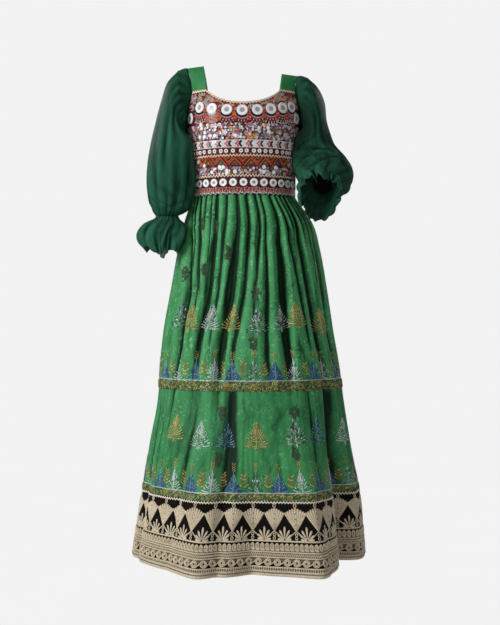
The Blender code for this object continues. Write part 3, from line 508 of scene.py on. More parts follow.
def ribbons(pile, cloth, spot, paths, width, height, finish, base=0.00015):
    # Raised strokes of thread. paths: number, points, (across, down) in metres
    paths = np.asarray(paths, dtype=float)
    paths = paths.reshape(-1, *paths.shape[-2:])
    number, steps = paths.shape[:2]
    way = unit(np.gradient(paths, axis=1))
    side = np.stack([-way[..., 1], way[..., 0]], axis=-1)
    width = np.broadcast_to(width, (number, steps))[..., None] / 2
    flat = np.stack([paths - side * width, paths, paths + side * width], axis=2)
    rows, columns = cloth.lay(spot[0], spot[1], flat[..., 0].ravel(), flat[..., 1].ravel())
    points, out = cloth.at(rows, columns)
    lift = np.broadcast_to(np.array([base, base + height, base]), flat.shape[:3]).ravel()
    pile.add((points + out * lift[:, None]).reshape(number, steps * 3, 3), stripFaces(steps), finish)


def tangents(cloth, rows, columns):
    point, out = cloth.at(rows, columns)
    up = cloth.at(rows - 0.5, columns)[0] - cloth.at(rows + 0.5, columns)[0]
    up = unit(up - out * np.sum(up * out, axis=-1, keepdims=True))
    return point, out, up, np.cross(up, out)


def plates(pile, cloth, rows, columns, radius, profile, sides, finish, tall=1.0, turn=0.0, lift=0.0):
    # Round or oval shapes seated on the cloth. profile: share of the radius, lift, any finish of its own
    rows, columns = np.atleast_1d(rows).astype(float), np.atleast_1d(columns).astype(float)
    number = len(rows)
    if not number:
        return
    point, out, up, across = tangents(cloth, rows, columns)
    radius, tall, turn = (np.broadcast_to(value, number)[:, None] for value in (radius, tall, turn))
    around = 2 * math.pi * (np.arange(sides) + 0.5)[None] / sides
    x0, y0 = np.cos(around) * radius, np.sin(around) * radius * tall
    x, y = x0 * np.cos(turn) - y0 * np.sin(turn), x0 * np.sin(turn) + y0 * np.cos(turn)
    rings = []
    for share, rise, *own in profile:
        flat = across[:, None] * (x * share)[..., None] + up[:, None] * (y * share)[..., None]
        rings.append(point[:, None] + flat + out[:, None] * (rise + lift))
    rings.append((point + out * (profile[-1][1] + lift))[:, None])
    here, after = np.arange(sides), (np.arange(sides) + 1) % sides
    cap = np.stack([here, after, np.full(sides, sides)], axis=-1)
    belt = np.concatenate([np.stack([here, after, after + sides], axis=-1),
                           np.stack([here, after + sides, here + sides], axis=-1)])
    for k, (share, rise, *own) in enumerate(profile):
        shape = np.concatenate(rings[k:k + 2], axis=1)
        pile.add(shape, cap if k == len(profile) - 1 else belt, own[0] if own else finish)


def dome(height):
    return ((1.0, 0.0), (0.62, height * 0.95))


def flatBead(height):
    return ((1.0, 0.0), (0.55, height))


def fill(tree, node, values):
    # Sockets that take another node's output are linked, the others are set
    for socket, value in values.items():
        if hasattr(value, "links"):
            tree.links.new(value, node.inputs[socket])
        elif node.inputs[socket].type == "RGBA":
            node.inputs[socket].default_value = (*value, 1.0)
        else:
            node.inputs[socket].default_value = value
    return node


def addNode(tree, kind, values=None, **options):
    node = tree.nodes.new(kind)
    for key, value in options.items():
        setattr(node, key, value)
    return fill(tree, node, values or {})


def newMaterial(name):
    material = bpy.data.materials.new(name)
    material.use_nodes = True
    return material, material.node_tree


def mixColour(tree, factor, first, second):
    return addNode(tree, "ShaderNodeMix", {0: factor, 6: first, 7: second}, data_type="RGBA").outputs[2]


def maths(tree, operation, first, second):
    return addNode(tree, "ShaderNodeMath", {0: first, 1: second}, operation=operation).outputs[0]


def ramp(tree, source, low, high, bottom=0.0, top=1.0):
    return addNode(tree, "ShaderNodeMapRange", {0: source, 1: low, 2: high, 3: bottom, 4: top}).outputs[0]


def noise(tree, vector, scale, detail=2.0, rough=0.5):
    values = {"Vector": vector, "Scale": scale, "Detail": detail, "Roughness": rough}
    return addNode(tree, "ShaderNodeTexNoise", values).outputs["Fac"]


def bump(tree, height, distance, strength):
    values = {"Height": height, "Distance": distance, "Strength": strength}
    return addNode(tree, "ShaderNodeBump", values).outputs["Normal"]


def objectSpace(tree):
    return addNode(tree, "ShaderNodeTexCoord").outputs["Object"]


def clothSpace(tree, tall=1.0):
    # The cloth's own metres; tall below 1 draws a pattern out down the cloth
    uv = addNode(tree, "ShaderNodeUVMap", uv_map="UVMap").outputs[0]
    return addNode(tree, "ShaderNodeMapping", {"Vector": uv, "Scale": (1.0, tall, 1.0)}).outputs[0]


def mark(tree, name):
    return addNode(tree, "ShaderNodeAttribute", attribute_name=name).outputs["Fac"]


def weaveGroup():
    # Crossing threads: a height from the cloth's own metres and a thread spacing
    group = bpy.data.node_groups.new("crossing_threads", "ShaderNodeTree")
    for name, way, kind in (("Vector", "IN", "Vector"), ("Scale", "IN", "Float"), ("Height", "OUT", "Float")):
        group.interface.new_socket(name, in_out=way + "PUT", socket_type="NodeSocket" + kind)
    start, end = group.nodes.new("NodeGroupInput").outputs, group.nodes.new("NodeGroupOutput")
    values = {"Vector": start["Vector"], "Scale": start["Scale"], "Distortion": 0.6, "Detail": 1.0}
    waves = [addNode(group, "ShaderNodeTexWave", values, bands_direction=way).outputs["Fac"] for way in "XY"]
    fill(group, end, {"Height": maths(group, "MAXIMUM", *waves)})
    return group


threads = weaveGroup()


def weave(tree, vector, scale):
    values = {"Vector": vector, "Scale": scale}
    return addNode(tree, "ShaderNodeGroup", values, node_tree=threads).outputs["Height"]


def satinFinish(name, figureAndGlints):
    # how strongly the woven-in pattern, and the painted glints with it, show
    look = {"dark": (0.025, 0.17, 0.054), "mid": (0.049, 0.264, 0.089), "light": (0.2, 0.54, 0.27),
            "leaf": (0.012, 0.09, 0.032), "paintedValleyShade": (0.0015, 0.012, 0.005), "crest": (0.108, 0.415, 0.17)}
    material, tree = newMaterial(name)
    space = clothSpace(tree)

    def cells(vector, scale, low, high, random=1.0, **options):
        values = {"Vector": vector, "Scale": scale, "Randomness": random}
        node = addNode(tree, "ShaderNodeTexVoronoi", values, **options)
        return ramp(tree, node.outputs["Distance"], low, high)
    broad = ramp(tree, noise(tree, clothSpace(tree, 0.35), 26.0, 3.0), 0.32, 0.68)
    colour = mixColour(tree, broad, look["dark"], look["mid"])
    # Painted highlight: the colour is lighter on the crests of the folds
    colour = mixColour(tree, ramp(tree, mark(tree, "crest"), 0.05, 0.9, 0.0, 0.45), colour, look["crest"])
    figure = maths(tree, "MULTIPLY", cells(space, 44.0, 0.5, 0.34, 0.9, distance="MANHATTAN"),
                   cells(space, 136.4, 0.42, 0.26, feature="SMOOTH_F1"))
    figure = ramp(tree, figure, 0.15, 0.6, 0.0, 0.5 * figureAndGlints)
    colour = mixColour(tree, figure, colour, look["light"])
    leafy = maths(tree, "MULTIPLY", cells(clothSpace(tree, 0.62), 21.0, 0.42, 0.24, 0.9),
                  ramp(tree, noise(tree, space, 150.0, 3.0, 0.6), 0.46, 0.54))
    colour = mixColour(tree, ramp(tree, leafy, 0.1, 0.9, 0.0, 0.8 * figureAndGlints), colour, look["leaf"])
    # Painted glints: pale specks in the figure's light colour that stand for the sheen of the satin
    half = clothSpace(tree, 0.5)
    glints = ramp(tree, noise(tree, half, 300.0, 2.0, 0.6), 0.53, 0.6, 0.0, 0.6 * figureAndGlints)
    glints = maths(tree, "MULTIPLY", glints, ramp(tree, noise(tree, half, 60.0), 0.47, 0.58))
    colour = mixColour(tree, glints, colour, look["light"])
    # Painted shade: the hollows are darkened nearly to black, with uneven streaks at their edges
    paintedShadeStreaks = ramp(tree, noise(tree, clothSpace(tree, 0.16), 170.0, 3.0, 0.65), 0.35, 0.68, -0.05, 0.12)
    paintedValleyShade = ramp(tree, maths(tree, "ADD", mark(tree, "paintedShade"), paintedShadeStreaks), 0.11, 0.58, 0.0, 0.97)
    height = maths(tree, "ADD", ramp(tree, weave(tree, space, 420.0), 0.0, 1.0, 0.0, 0.22), figure)
    fill(tree, tree.nodes["Principled BSDF"], {
        "Base Color": mixColour(tree, paintedValleyShade, colour, look["paintedValleyShade"]), "Specular IOR Level": 0.14,
        "Roughness": ramp(tree, figure, 0.0, 0.55, 0.62, 0.42), "Normal": bump(tree, height, 0.00035, 0.55)})
    return material


def chiffonFinish():
    look = {"deep": (0.006, 0.04, 0.021), "mid": (0.016, 0.095, 0.054), "bright": (0.07, 0.15, 0.115),
            "paintedValleyShade": (0.001, 0.006, 0.003), "crest": (0.034, 0.16, 0.094)}
    material, tree = newMaterial("dark_green_chiffon")
    sheer = mark(tree, "sheer")
    broad = ramp(tree, noise(tree, clothSpace(tree, 0.3), 30.0, 4.0, 0.6), 0.3, 0.72)
    colour = mixColour(tree, broad, look["deep"], look["mid"])
    # Painted highlight on the crests of the folds
    colour = mixColour(tree, ramp(tree, mark(tree, "crest"), 0.08, 0.8, 0.0, 0.55), colour, look["crest"])
    # Painted light: the cloth is lighter where it is sheer, on top of its real see-through in Alpha
    colour = mixColour(tree, ramp(tree, sheer, 0.1, 1.0, 0.0, 0.8), colour, look["bright"])
    # Painted shade in the hollows
    colour = mixColour(tree, ramp(tree, mark(tree, "paintedShade"), 0.02, 0.7, 0.0, 0.9), colour, look["paintedValleyShade"])
    crinkle = noise(tree, clothSpace(tree, 0.14), 620.0, 3.0, 0.6)
    height = maths(tree, "ADD", crinkle, ramp(tree, weave(tree, clothSpace(tree), 520.0), 0.0, 1.0, 0.0, 0.4))
    fill(tree, tree.nodes["Principled BSDF"], {
        "Base Color": colour, "Roughness": 0.8, "Specular IOR Level": 0.1,
        "Normal": bump(tree, height, 0.0005, 0.5), "Alpha": ramp(tree, sheer, 0.0, 0.9, 0.97, 0.3)})
    return material


def threadFinish(name, dark, light, roughness, metallic=0.0, gap=0.45):
    # Wound or couched thread: fine stripes with dark gaps
    material, tree = newMaterial(name)
    space = objectSpace(tree)
    patches = ramp(tree, noise(tree, space, 315.0, 3.0), 0.3, 0.7)
    values = {"Vector": space, "Scale": 450.0, "Distortion": 3.0, "Detail": 2.0}
    wave = addNode(tree, "ShaderNodeTexWave", values, bands_direction="DIAGONAL").outputs["Fac"]
    colour = mixColour(tree, ramp(tree, wave, 0.0, 0.35), tuple(gap * c for c in dark),
                       mixColour(tree, patches, dark, light))
    fill(tree, tree.nodes["Principled BSDF"], {
        "Base Color": colour, "Specular IOR Level": 0.4, "Metallic": metallic,
        "Roughness": ramp(tree, patches, 0.0, 1.0, roughness + 0.12, roughness - 0.08),
        "Normal": bump(tree, wave, 0.0004, 0.6)})
    return material


def glossFinish(name, colour, roughness=0.18, metallic=0.0, spread=0.25, coat=0.35):
    # Beads, sequins and mirrors: a glossy coat with small differences between them
    material, tree = newMaterial(name)
    space = objectSpace(tree)
    tone = ramp(tree, noise(tree, space, 240.0), 0.35, 0.65)
    light = tuple(min(1.0, c * (1 + spread)) for c in colour)
    dark = tuple(c * (1 - spread) for c in colour)
    fill(tree, tree.nodes["Principled BSDF"], {
        "Base Color": mixColour(tree, tone, dark, light), "Metallic": metallic, "Coat Weight": coat,
        "Roughness": ramp(tree, noise(tree, space, 700.0), 0.3, 0.7, roughness * 0.6, roughness * 1.5),
        "Coat Roughness": 0.08})
    return material


def groundFinish(name, scale, *colours):
    # Cloth under stitching: patches of two thread colours over a dark ground
    material, tree = newMaterial(name)
    space = clothSpace(tree)
    first = ramp(tree, noise(tree, space, scale, 4.0, 0.7), 0.42, 0.58)
    second = ramp(tree, noise(tree, space, scale * 2.3, 3.0, 0.6), 0.48, 0.6)
    colour = mixColour(tree, second, mixColour(tree, first, colours[0], colours[1]), colours[2])
    fill(tree, tree.nodes["Principled BSDF"], {
        "Base Color": colour, "Specular IOR Level": 0.12, "Roughness": 0.85,
        "Normal": bump(tree, weave(tree, space, 380.0), 0.0004, 0.6)})
    return material


green, plainGreen = satinFinish("green_satin", 1.0), satinFinish("plain_green_satin", 0.2)
softGreen, chiffon = satinFinish("soft_green_satin", 0.55), chiffonFinish()
grounds = {
    "ground": ("embroidered_ground", 260.0, (0.044, 0.01, 0.01), (0.125, 0.022, 0.018), (0.04, 0.022, 0.022)),
    "black": ("black_border_cloth", 300.0, (0.0025, 0.002, 0.0016), (0.0045, 0.0036, 0.0028),
              (0.007, 0.0056, 0.004)),
    "bandCloth": ("green_gold_ground", 420.0, (0.044, 0.16, 0.05), (0.15, 0.165, 0.045),
                  (0.05, 0.095, 0.028)),
}
# Dark and light colour, roughness, metal, how dark the gaps are
sewing = {
    "cream": ("cream_cord", (0.56, 0.455, 0.31), (0.89, 0.78, 0.59), 0.75, 0.0, 0.72),
    "ivory": ("ivory_cord", (0.82, 0.73, 0.57), (1.0, 0.94, 0.8), 0.75, 0.0, 0.85),
    "peach": ("peach_cord", (0.88, 0.68, 0.49), (1.0, 0.9, 0.72), 0.7, 0.0, 0.9),
    "tan": ("tan_cord", (0.3, 0.225, 0.135), (0.52, 0.42, 0.28), 0.75, 0.0, 0.6),
    "tanDeep": ("deep_tan_cord", (0.09, 0.068, 0.04), (0.23, 0.18, 0.115), 0.75),
    "gold": ("gold_thread", (0.4, 0.29, 0.062), (0.84, 0.67, 0.26), 0.36, 0.25),
    "olive": ("olive_gold_thread", (0.15, 0.135, 0.03), (0.4, 0.34, 0.1), 0.42, 0.2),
    "silver": ("silver_thread", (0.56, 0.64, 0.61), (0.93, 0.96, 0.94), 0.32, 0.25),
    "steel": ("grey_green_thread", (0.12, 0.21, 0.18), (0.42, 0.56, 0.5), 0.38, 0.3),
    "blue": ("blue_thread", (0.01, 0.052, 0.12), (0.032, 0.13, 0.26), 0.45, 0.1),
    "sky": ("pale_blue_thread", (0.12, 0.29, 0.4), (0.32, 0.52, 0.62), 0.36, 0.2),
    "copper": ("copper_thread", (0.23, 0.105, 0.026), (0.52, 0.29, 0.085), 0.38, 0.3),
    "rosette": ("olive_brown_thread", (0.022, 0.052, 0.02), (0.07, 0.078, 0.036), 0.7),
    "rosetteHeart": ("olive_grey_thread", (0.042, 0.06, 0.03), (0.095, 0.1, 0.056), 0.7),
    "leaf": ("dark_leaf_thread", (0.008, 0.06, 0.022), (0.016, 0.105, 0.04), 0.6),
    "redThread": ("red_thread", (0.4, 0.02, 0.018), (0.7, 0.055, 0.036), 0.6, 0.0, 0.7),
    "orangeThread": ("orange_thread", (0.76, 0.11, 0.024), (1.0, 0.26, 0.07), 0.6, 0.0, 0.7),
    "brownThread": ("brown_thread", (0.05, 0.026, 0.016), (0.15, 0.085, 0.05), 0.6),
}
# Colour, roughness, metal, how much the colour varies, coat
glossy = {
    "shell": ("white_shell", (0.8, 0.79, 0.79), 0.42, 0.0, 0.08, 0.05),
    "mirror": ("mirror_glass", (0.34, 0.335, 0.34), 0.38, 0.1, 0.22, 0.15),
    "sequinSilver": ("silver_sequin", (0.64, 0.615, 0.64), 0.34, 0.2),
    "sequinPurple": ("mauve_sequin", (0.38, 0.28, 0.375), 0.34, 0.15),
    "sequinPink": ("pink_sequin", (0.56, 0.09, 0.2), 0.32, 0.15),
    "sequinOrange": ("orange_sequin", (0.76, 0.2, 0.05), 0.34, 0.1),
    "sequinTeal": ("teal_sequin", (0.12, 0.19, 0.2), 0.32, 0.25),
    "sequinGold": ("gold_sequin", (0.42, 0.28, 0.11), 0.32, 0.3),
    "beadWhite": ("white_bead", (0.8, 0.8, 0.78), 0.3, 0.0, 0.1),
    "beadBlue": ("pale_blue_bead", (0.6, 0.73, 0.79), 0.3, 0.0, 0.08),
    "beadRed": ("red_bead", (0.56, 0.03, 0.042), 0.32),
    "beadPink": ("pink_bead", (0.82, 0.5, 0.5), 0.3, 0.0, 0.12),
    "beadBlack": ("black_bead", (0.006, 0.005, 0.007), 0.25),
    "beadCream": ("cream_bead", (0.74, 0.63, 0.49), 0.32, 0.0, 0.15),
    "beadGreen": ("green_bead", (0.02, 0.13, 0.06), 0.28),
    "beadIndigo": ("indigo_bead", (0.045, 0.03, 0.26), 0.28),
    "beadOrange": ("orange_bead", (0.8, 0.18, 0.045), 0.3),
    "beadBrown": ("brown_bead", (0.13, 0.065, 0.035), 0.32),
    "beadOlive": ("olive_bead", (0.17, 0.14, 0.06), 0.32),
}
finish = {}
for make, looks in ((groundFinish, grounds), (threadFinish, sewing), (glossFinish, glossy)):
    finish.update({name: make(*look) for name, look in looks.items()})
print("materials", len(finish), flush=True)


# Flat cut of each cloth in metres, its area in square metres, how it is held, what it rests on
straps = ("strap_left", "strap_right")
cuts = {
    "upper_tier_cloth_front": ((0.734, 0.516), 0.331, "gathered", straps),
    "upper_tier_cloth_back": ((0.695, 0.516), 0.313, "gathered", straps),
    "lower_tier_cloth_front": ((0.903, 0.284), 0.216, "gathered", straps),
    "lower_tier_cloth_back": ((0.817, 0.277), 0.199, "gathered", straps),
    "border_cloth_front": ((1.104, 0.19), 0.179, "hung", straps),
    "border_cloth_back": ((0.894, 0.175), 0.148, "hung", straps),
    "bodice_cloth_front": ((0.555, 0.276), 0.114, "stretched", straps),
    "bodice_cloth_back": ((0.529, 0.275), 0.11, "stretched", straps),
    "strap_cloth_right": ((0.052, 0.217), 0.0089, "stretched", ()),
    "strap_cloth_left": ((0.052, 0.188), 0.0075, "stretched", ()),
    "sleeve_cloth_right": ((0.503, 0.444), 0.15, "gathered", ("strap_right",)),
    "sleeve_cloth_left": ((0.48, 0.489), 0.148, "gathered", ("strap_left",)),
    "ruffle_cloth_right": ((0.581, 0.121), 0.0446, "gathered", ("sleeve_right",)),
    "ruffle_cloth_left": ((0.601, 0.128), 0.0384, "gathered", ("sleeve_left",)),
}


def sheet(piece, cloth):
    wide = cloth.along[:, -1]
    tall = stepLengths(cloth.points, 0)
    made = float((tall.mean(axis=1) * (wide[:-1] + wide[1:]) / 2).sum())
    print("cloth", piece.name, "widest", round(float(wide.max()), 3), "longest",
          round(float(tall.sum(axis=0).max()), 3), "area", round(made, 4), flush=True)


def skirtCloth(columns, rows, byLine):
    lines, heights = np.meshgrid(columns, rows)
    angles = np.stack([lineAngle(columns, z) for z in rows]) if byLine else lines
    return (*skirtSurface(angles, heights, lines if byLine else None), angles)


def keepSeam(points, first):
    # The two side edges stay in the plane of the side seams
    for column in (0, -1):
        points[:, column, 1] = (-1 if first == -90.0 else 1) * seamGap / 2
    return points


# Shadows deep between the front folds: angle and height at both ends, half width, strength
shadowLines = {
    "upper": ((-50, -0.42, -53, -0.8, 1.6, 0.45), (-29, -0.42, -35, -0.8, 1.7, 0.5),
              (-12, -0.4, -20, -0.83, 1.8, 0.6), (24, -0.42, 25, -0.83, 2.0, 0.65),
              (46, -0.44, 53, -0.83, 1.8, 0.55), (68, -0.44, 69, -0.83, 2.2, 0.5),
              (-22, -0.38, -24, -0.62, 1.2, 0.4), (8, -0.38, 3, -0.62, 1.2, 0.4),
              (36, -0.38, 42, -0.62, 1.2, 0.4)),
    "lower": ((-10, -0.8, -12, -1.16, 3.0, 0.8), (-13, -0.8, -17, -1.1, 6.0, 0.26),
              (-33, -0.8, -43, -1.05, 4.6, 0.32), (57, -0.8, 58, -1.2, 5.2, 0.66),
              (48, -0.86, 47, -1.04, 3.0, 0.22), (17, -0.87, 13, -0.95, 2.4, 0.34),
              (8, -0.96, 9, -1.06, 2.0, 0.28), (-4, -0.85, -3, -0.93, 1.8, 0.28),
              (-47, -0.95, -52, -1.08, 2.8, 0.28), (-57, -0.85, -61, -0.97, 2.6, 0.24),
              (30, -0.88, 33, -1.0, 2.2, 0.18), (74, -0.8, 77, -1.12, 4.5, 0.3),
              (-24, -1.0, -27, -1.09, 2.0, 0.22)),
}


def shadows(tier, angles, heights):
    total = np.zeros(angles.shape)
    for a0, z0, a1, z1, width, strength in shadowLines[tier]:
        t = (z0 - heights) / (z0 - z1)
        ends = clamp(t / 0.15) * clamp((1 - t) / 0.25)
        middle = a0 + (a1 - a0) * t + 1.2 * np.sin(9 * t + a0)
        total = np.maximum(total, strength * ends * bell(anglesApart(angles, middle) / width))
    return total


# Skirt tiers with their gold bands
halves = {"front": (-90.0, 90.0), "back": (90.0, 270.0)}
waistTop = waistZ - seamGap / 2
tierLooks = {
    "upper": {"columns": 256, "even": -0.62, "satin": green,
              "rows": waistTop + (upperSeamZ - waistTop) * np.linspace(0, 1, 66) ** 1.15},
    "lower": {"columns": 250, "even": -1.0, "satin": softGreen,
              "rows": np.linspace(upperSeamZ - seamGap, borderTopZ, 38)},
}
tiers, tierColumns = {}, {}
for side, (first, last) in halves.items():
    for tier, look in tierLooks.items():
        count = int(look["columns"] * (1.0 if side == "front" else 0.8))
        columns = tierColumns[tier, side] = evenSpots(first, last, count, look["even"], tier == "upper")
        points, out, angles = skirtCloth(columns, look["rows"], tier == "upper")
        cloth = tiers[tier, side] = Cloth(keepSeam(points, first))
        wall(tier + "_tier_cloth_" + side, cloth, satinWall, [look["satin"]], "green_satin",
             [tier + "_tier_" + side], shadow=shadows(tier, angles, look["rows"][:, None]))

# The two gold bands over the seams, each with a silver line above it
band = {"rise": 0.0012, "rows": 6, "below": {"upper": 0.008, "lower": 0.0}}


def rowAt(cloth, z):
    return float(np.interp(-z, -cloth.points[:, 5, 2], np.arange(cloth.rows)))


def mixedThreads(pile, cloth, spot, paths, widths, height, names, shares):
    # Strokes whose thread is drawn by lot; a thread without a name is left out
    chosen = rng.choice(len(names), len(paths), p=shares)
    for k, name in enumerate(names):
        pick = chosen == k
        if pick.any() and name:
            ribbons(pile, cloth, spot, paths[pick], widths[pick], height, name)


def stitches(pile, cloth, spot, paths, width, height, names, shares):
    # Paths broken into short stitches whose threads catch the light unevenly
    paths = np.asarray(paths, dtype=float)
    starts, ends = paths[:, :-1].reshape(-1, 2), paths[:, 1:].reshape(-1, 2)
    short = np.stack([starts, (starts + ends) / 2, ends - 0.1 * (ends - starts)], axis=1)
    widths = np.tile(np.asarray(width, dtype=float)[:, None] * [0.8, 1.0, 0.8], (len(paths), 1))
    mixedThreads(pile, cloth, spot, short, widths, height, names, shares)


def slants(pile, cloth, middle, pitch, length, width, lean, names, shares):
    # A row of slanting stitches along a band, middle metres below its top edge
    row = min(int(np.searchsorted(cloth.down, middle)), cloth.rows - 1)
    across = np.arange(pitch, cloth.along[row, -1] - pitch / 2, pitch)
    across = across + rng.uniform(-0.15, 0.15, len(across)) * pitch
    reach = lean * length / 2
    paths = np.stack([np.stack([across - reach, across, across + reach], 1),
                      np.tile([length / 2, 0, -length / 2], (len(across), 1)) + middle], axis=-1)
    widths = np.tile([width * 0.6, width, width * 0.6], (len(across), 1))
    mixedThreads(pile, cloth, (0, 0), paths, widths, 0.0009, names, shares)


seams = {"upper": upperSeamZ, "lower": borderTopZ}
for tier, seamZ in seams.items():
    for side in ("front", "back"):
        label = tier + "_" + side
        heights = np.linspace(seamZ + bandHeight, seamZ - band["below"][tier], band["rows"])
        grid = skirtCloth(tierColumns[tier, side], heights, tier == "upper")[0]
        share = np.linspace(0, 1, band["rows"])[:, None, None]
        crown = band["rise"] * (1 - np.abs(2 * share - 1) ** 4 * 0.7)
        cloth = Cloth(grid + Cloth(grid).out * (seamGap + crown))
        wall("gold_braid_" + label, cloth, braidWall, [finish["bandCloth"]], "gold_braid",
             ["gold_band_" + label])
        pile = Pile("gold_stitches_" + label)
        for k in range(6 if tier == "upper" else 4):
            slants(pile, cloth, 0.0022 + 0.004 * k, 0.0052, 0.0046, 0.0027, (1, -1)[k % 2],
                   ("gold", "olive", "steel", "leaf", ""), (0.25, 0.27, 0.1, 0.26, 0.12))
        over = tiers[tier, side]
        row = rowAt(over, seamZ + bandHeight + 0.002)
        along = np.arange(0.004, over.along[int(row), -1] - 0.004, 0.0045)
        sway = 0.0005 * np.where(np.arange(len(along)) % 2 == 0, 1, -1)
        ribbons(pile, over, (row, 0), np.stack([along, sway], axis=-1), 0.0026, 0.0012, "silver")
        pile.build(finish, "gold_braid")


def treePaths(width, height, branches, lift=0.45, steps=6):
    # Fanned branches on both sides of a stem, as paths from the stem outwards
    paths = []
    for number in range(branches):
        share = (number + 0.8) / (branches - 0.2)
        x, y = width / 2 * share * (1.0 if number < branches - 1 else 0.88), height * share
        inner = min(height * 1.03, y + (height * 1.03 - y) * lift)
        bend = 0.07 * height * (1 - 0.5 * share)
        t = np.linspace(0, 1, steps)
        for sign in (-1, 1):
            paths.append(np.stack([sign * (0.0012 + (x - 0.0012) * t),
                                   inner + (y - inner) * t + bend * np.sin(math.pi * t)], axis=-1))
    return np.array(paths)


def turned(paths, degrees):
    turn = math.radians(degrees)
    x, y = paths[..., 0], paths[..., 1]
    return np.stack([x * math.cos(turn) - y * math.sin(turn), x * math.sin(turn) + y * math.cos(turn)], -1)


treeThreads = {
    "gold": (("gold", "olive", "copper"), (0.7, 0.22, 0.08)),
    "silver": (("silver", "steel", "leaf"), (0.62, 0.28, 0.1)),
    "steel": (("steel", "silver", "leaf"), (0.5, 0.2, 0.3)),
    "blue": (("blue", "sky", "steel"), (0.48, 0.36, 0.16)),
    "copper": (("copper", "gold", "olive"), (0.4, 0.4, 0.2)),
}


def bigTree(pile, cloth, spot, width, height, name, tilt=0.0):
    # spot is the tree's top; a stem, fanned branches, dots at their tips, a short trunk
    fan = height * 0.82
    names, shares = treeThreads[name]
    paths = turned(treePaths(width, fan, 9), tilt)
    stitches(pile, cloth, spot, paths, (0.0018, 0.0023, 0.0028, 0.0031, 0.0028), 0.0012, names, shares)
    stem = np.stack([np.zeros(9), np.linspace(0.0, height, 9)], axis=-1)[None]
    stitches(pile, cloth, spot, turned(stem, tilt), (0.002, 0.0022, 0.0024, 0.0026, 0.0028, 0.0028,
             0.0026, 0.0022), 0.0013, names, shares)
    roots = [[(0, fan + 0.001), (s * 0.0035, fan + 0.005), (s * 0.0075, fan + 0.009)]
             for s in (-1, -0.4, 0.4, 1)]
    stitches(pile, cloth, spot, turned(np.array(roots), tilt), (0.002, 0.0018), 0.001, names, shares)
    tips = paths[:, -1]
    rows, columns = cloth.lay(spot[0], spot[1], tips[:, 0], tips[:, 1])
    plates(pile, cloth, rows, columns, 0.0015, flatBead(0.0015), 6, names[0], lift=0.0002)


def rosette(pile, cloth, spot, radius):
    # Woven-in flower: a soft oval cluster of small dark petals with leaves among them
    count = 52
    away = np.sqrt(rng.uniform(0, 1, count)) * (0.75 + 0.45 * rng.uniform(0, 1, count) ** 3)
    around = rng.uniform(0, 2 * math.pi, count)
    rows, columns = cloth.lay(spot[0], spot[1], np.cos(around) * away * radius * 0.8,
                              np.sin(around) * away * radius * 1.3)
    kinds = rng.choice(3, count, p=(0.36, 0.42, 0.22))
    sizes = radius * rng.uniform(0.12, 0.2, count)
    for k, name in enumerate(("rosette", "leaf", "rosetteHeart")):
        pick = kinds == k
        plates(pile, cloth, rows[pick], columns[pick], sizes[pick], dome(0.0003), 6, name, tall=1.5,
               turn=around[pick], lift=0.0001 * k)


def bandTree(pile, cloth, spot, width, height, name, tipName):
    # A small tree that stands on the line over a gold band; spot is its foot
    names, shares = treeThreads[name]
    paths = treePaths(width, height, 8, steps=5) - [0, height]
    if name == "blue":
        under = [[(0.0, -height * 0.97), (s * width * 0.13, -height * 0.45), (s * width * 0.26, -0.001)]
                 for s in (-1.3, -0.45, 0.45, 1.3)]
        ribbons(pile, cloth, spot, under, (0.002, width * 0.19, width * 0.33), 0.0003, "blue")
    stitches(pile, cloth, spot, paths, (0.0018, 0.0022, 0.0025, 0.0024), 0.0011, names, shares)
    stem = [[(0, -height), (0, -height / 2), (0, -0.0015)]]
    ribbons(pile, cloth, spot, stem, 0.0022, 0.0014, "sky" if name == "blue" else names[0])
    tipThreads = treeThreads[tipName]
    top = [[(0, -height - 0.001 - 0.0055 * k), (s * 0.003, -height - 0.0035 - 0.0055 * k),
            (s * 0.0046, -height - 0.0068 - 0.0055 * k)] for s in (-1, 1) for k in range(4)]
    stitches(pile, cloth, spot, top, (0.0017, 0.002), 0.001, *tipThreads)


def sprig(pile, cloth, spot, height, name):
    # Pairs of slanting leaves; they begin a little above spot
    pairs = int(height / 0.007)
    leaves = []
    for k in range(pairs):
        y = -0.014 - k * height / pairs
        reach = 0.011 * (1 - 0.4 * k / pairs)
        leaves += [[(s * 0.0006, y), (s * reach * 0.6, y - 0.003), (s * reach, y - 0.0072)] for s in (-1, 1)]
    stitches(pile, cloth, spot, leaves, (0.0036, 0.0032), 0.0011, *treeThreads[name])


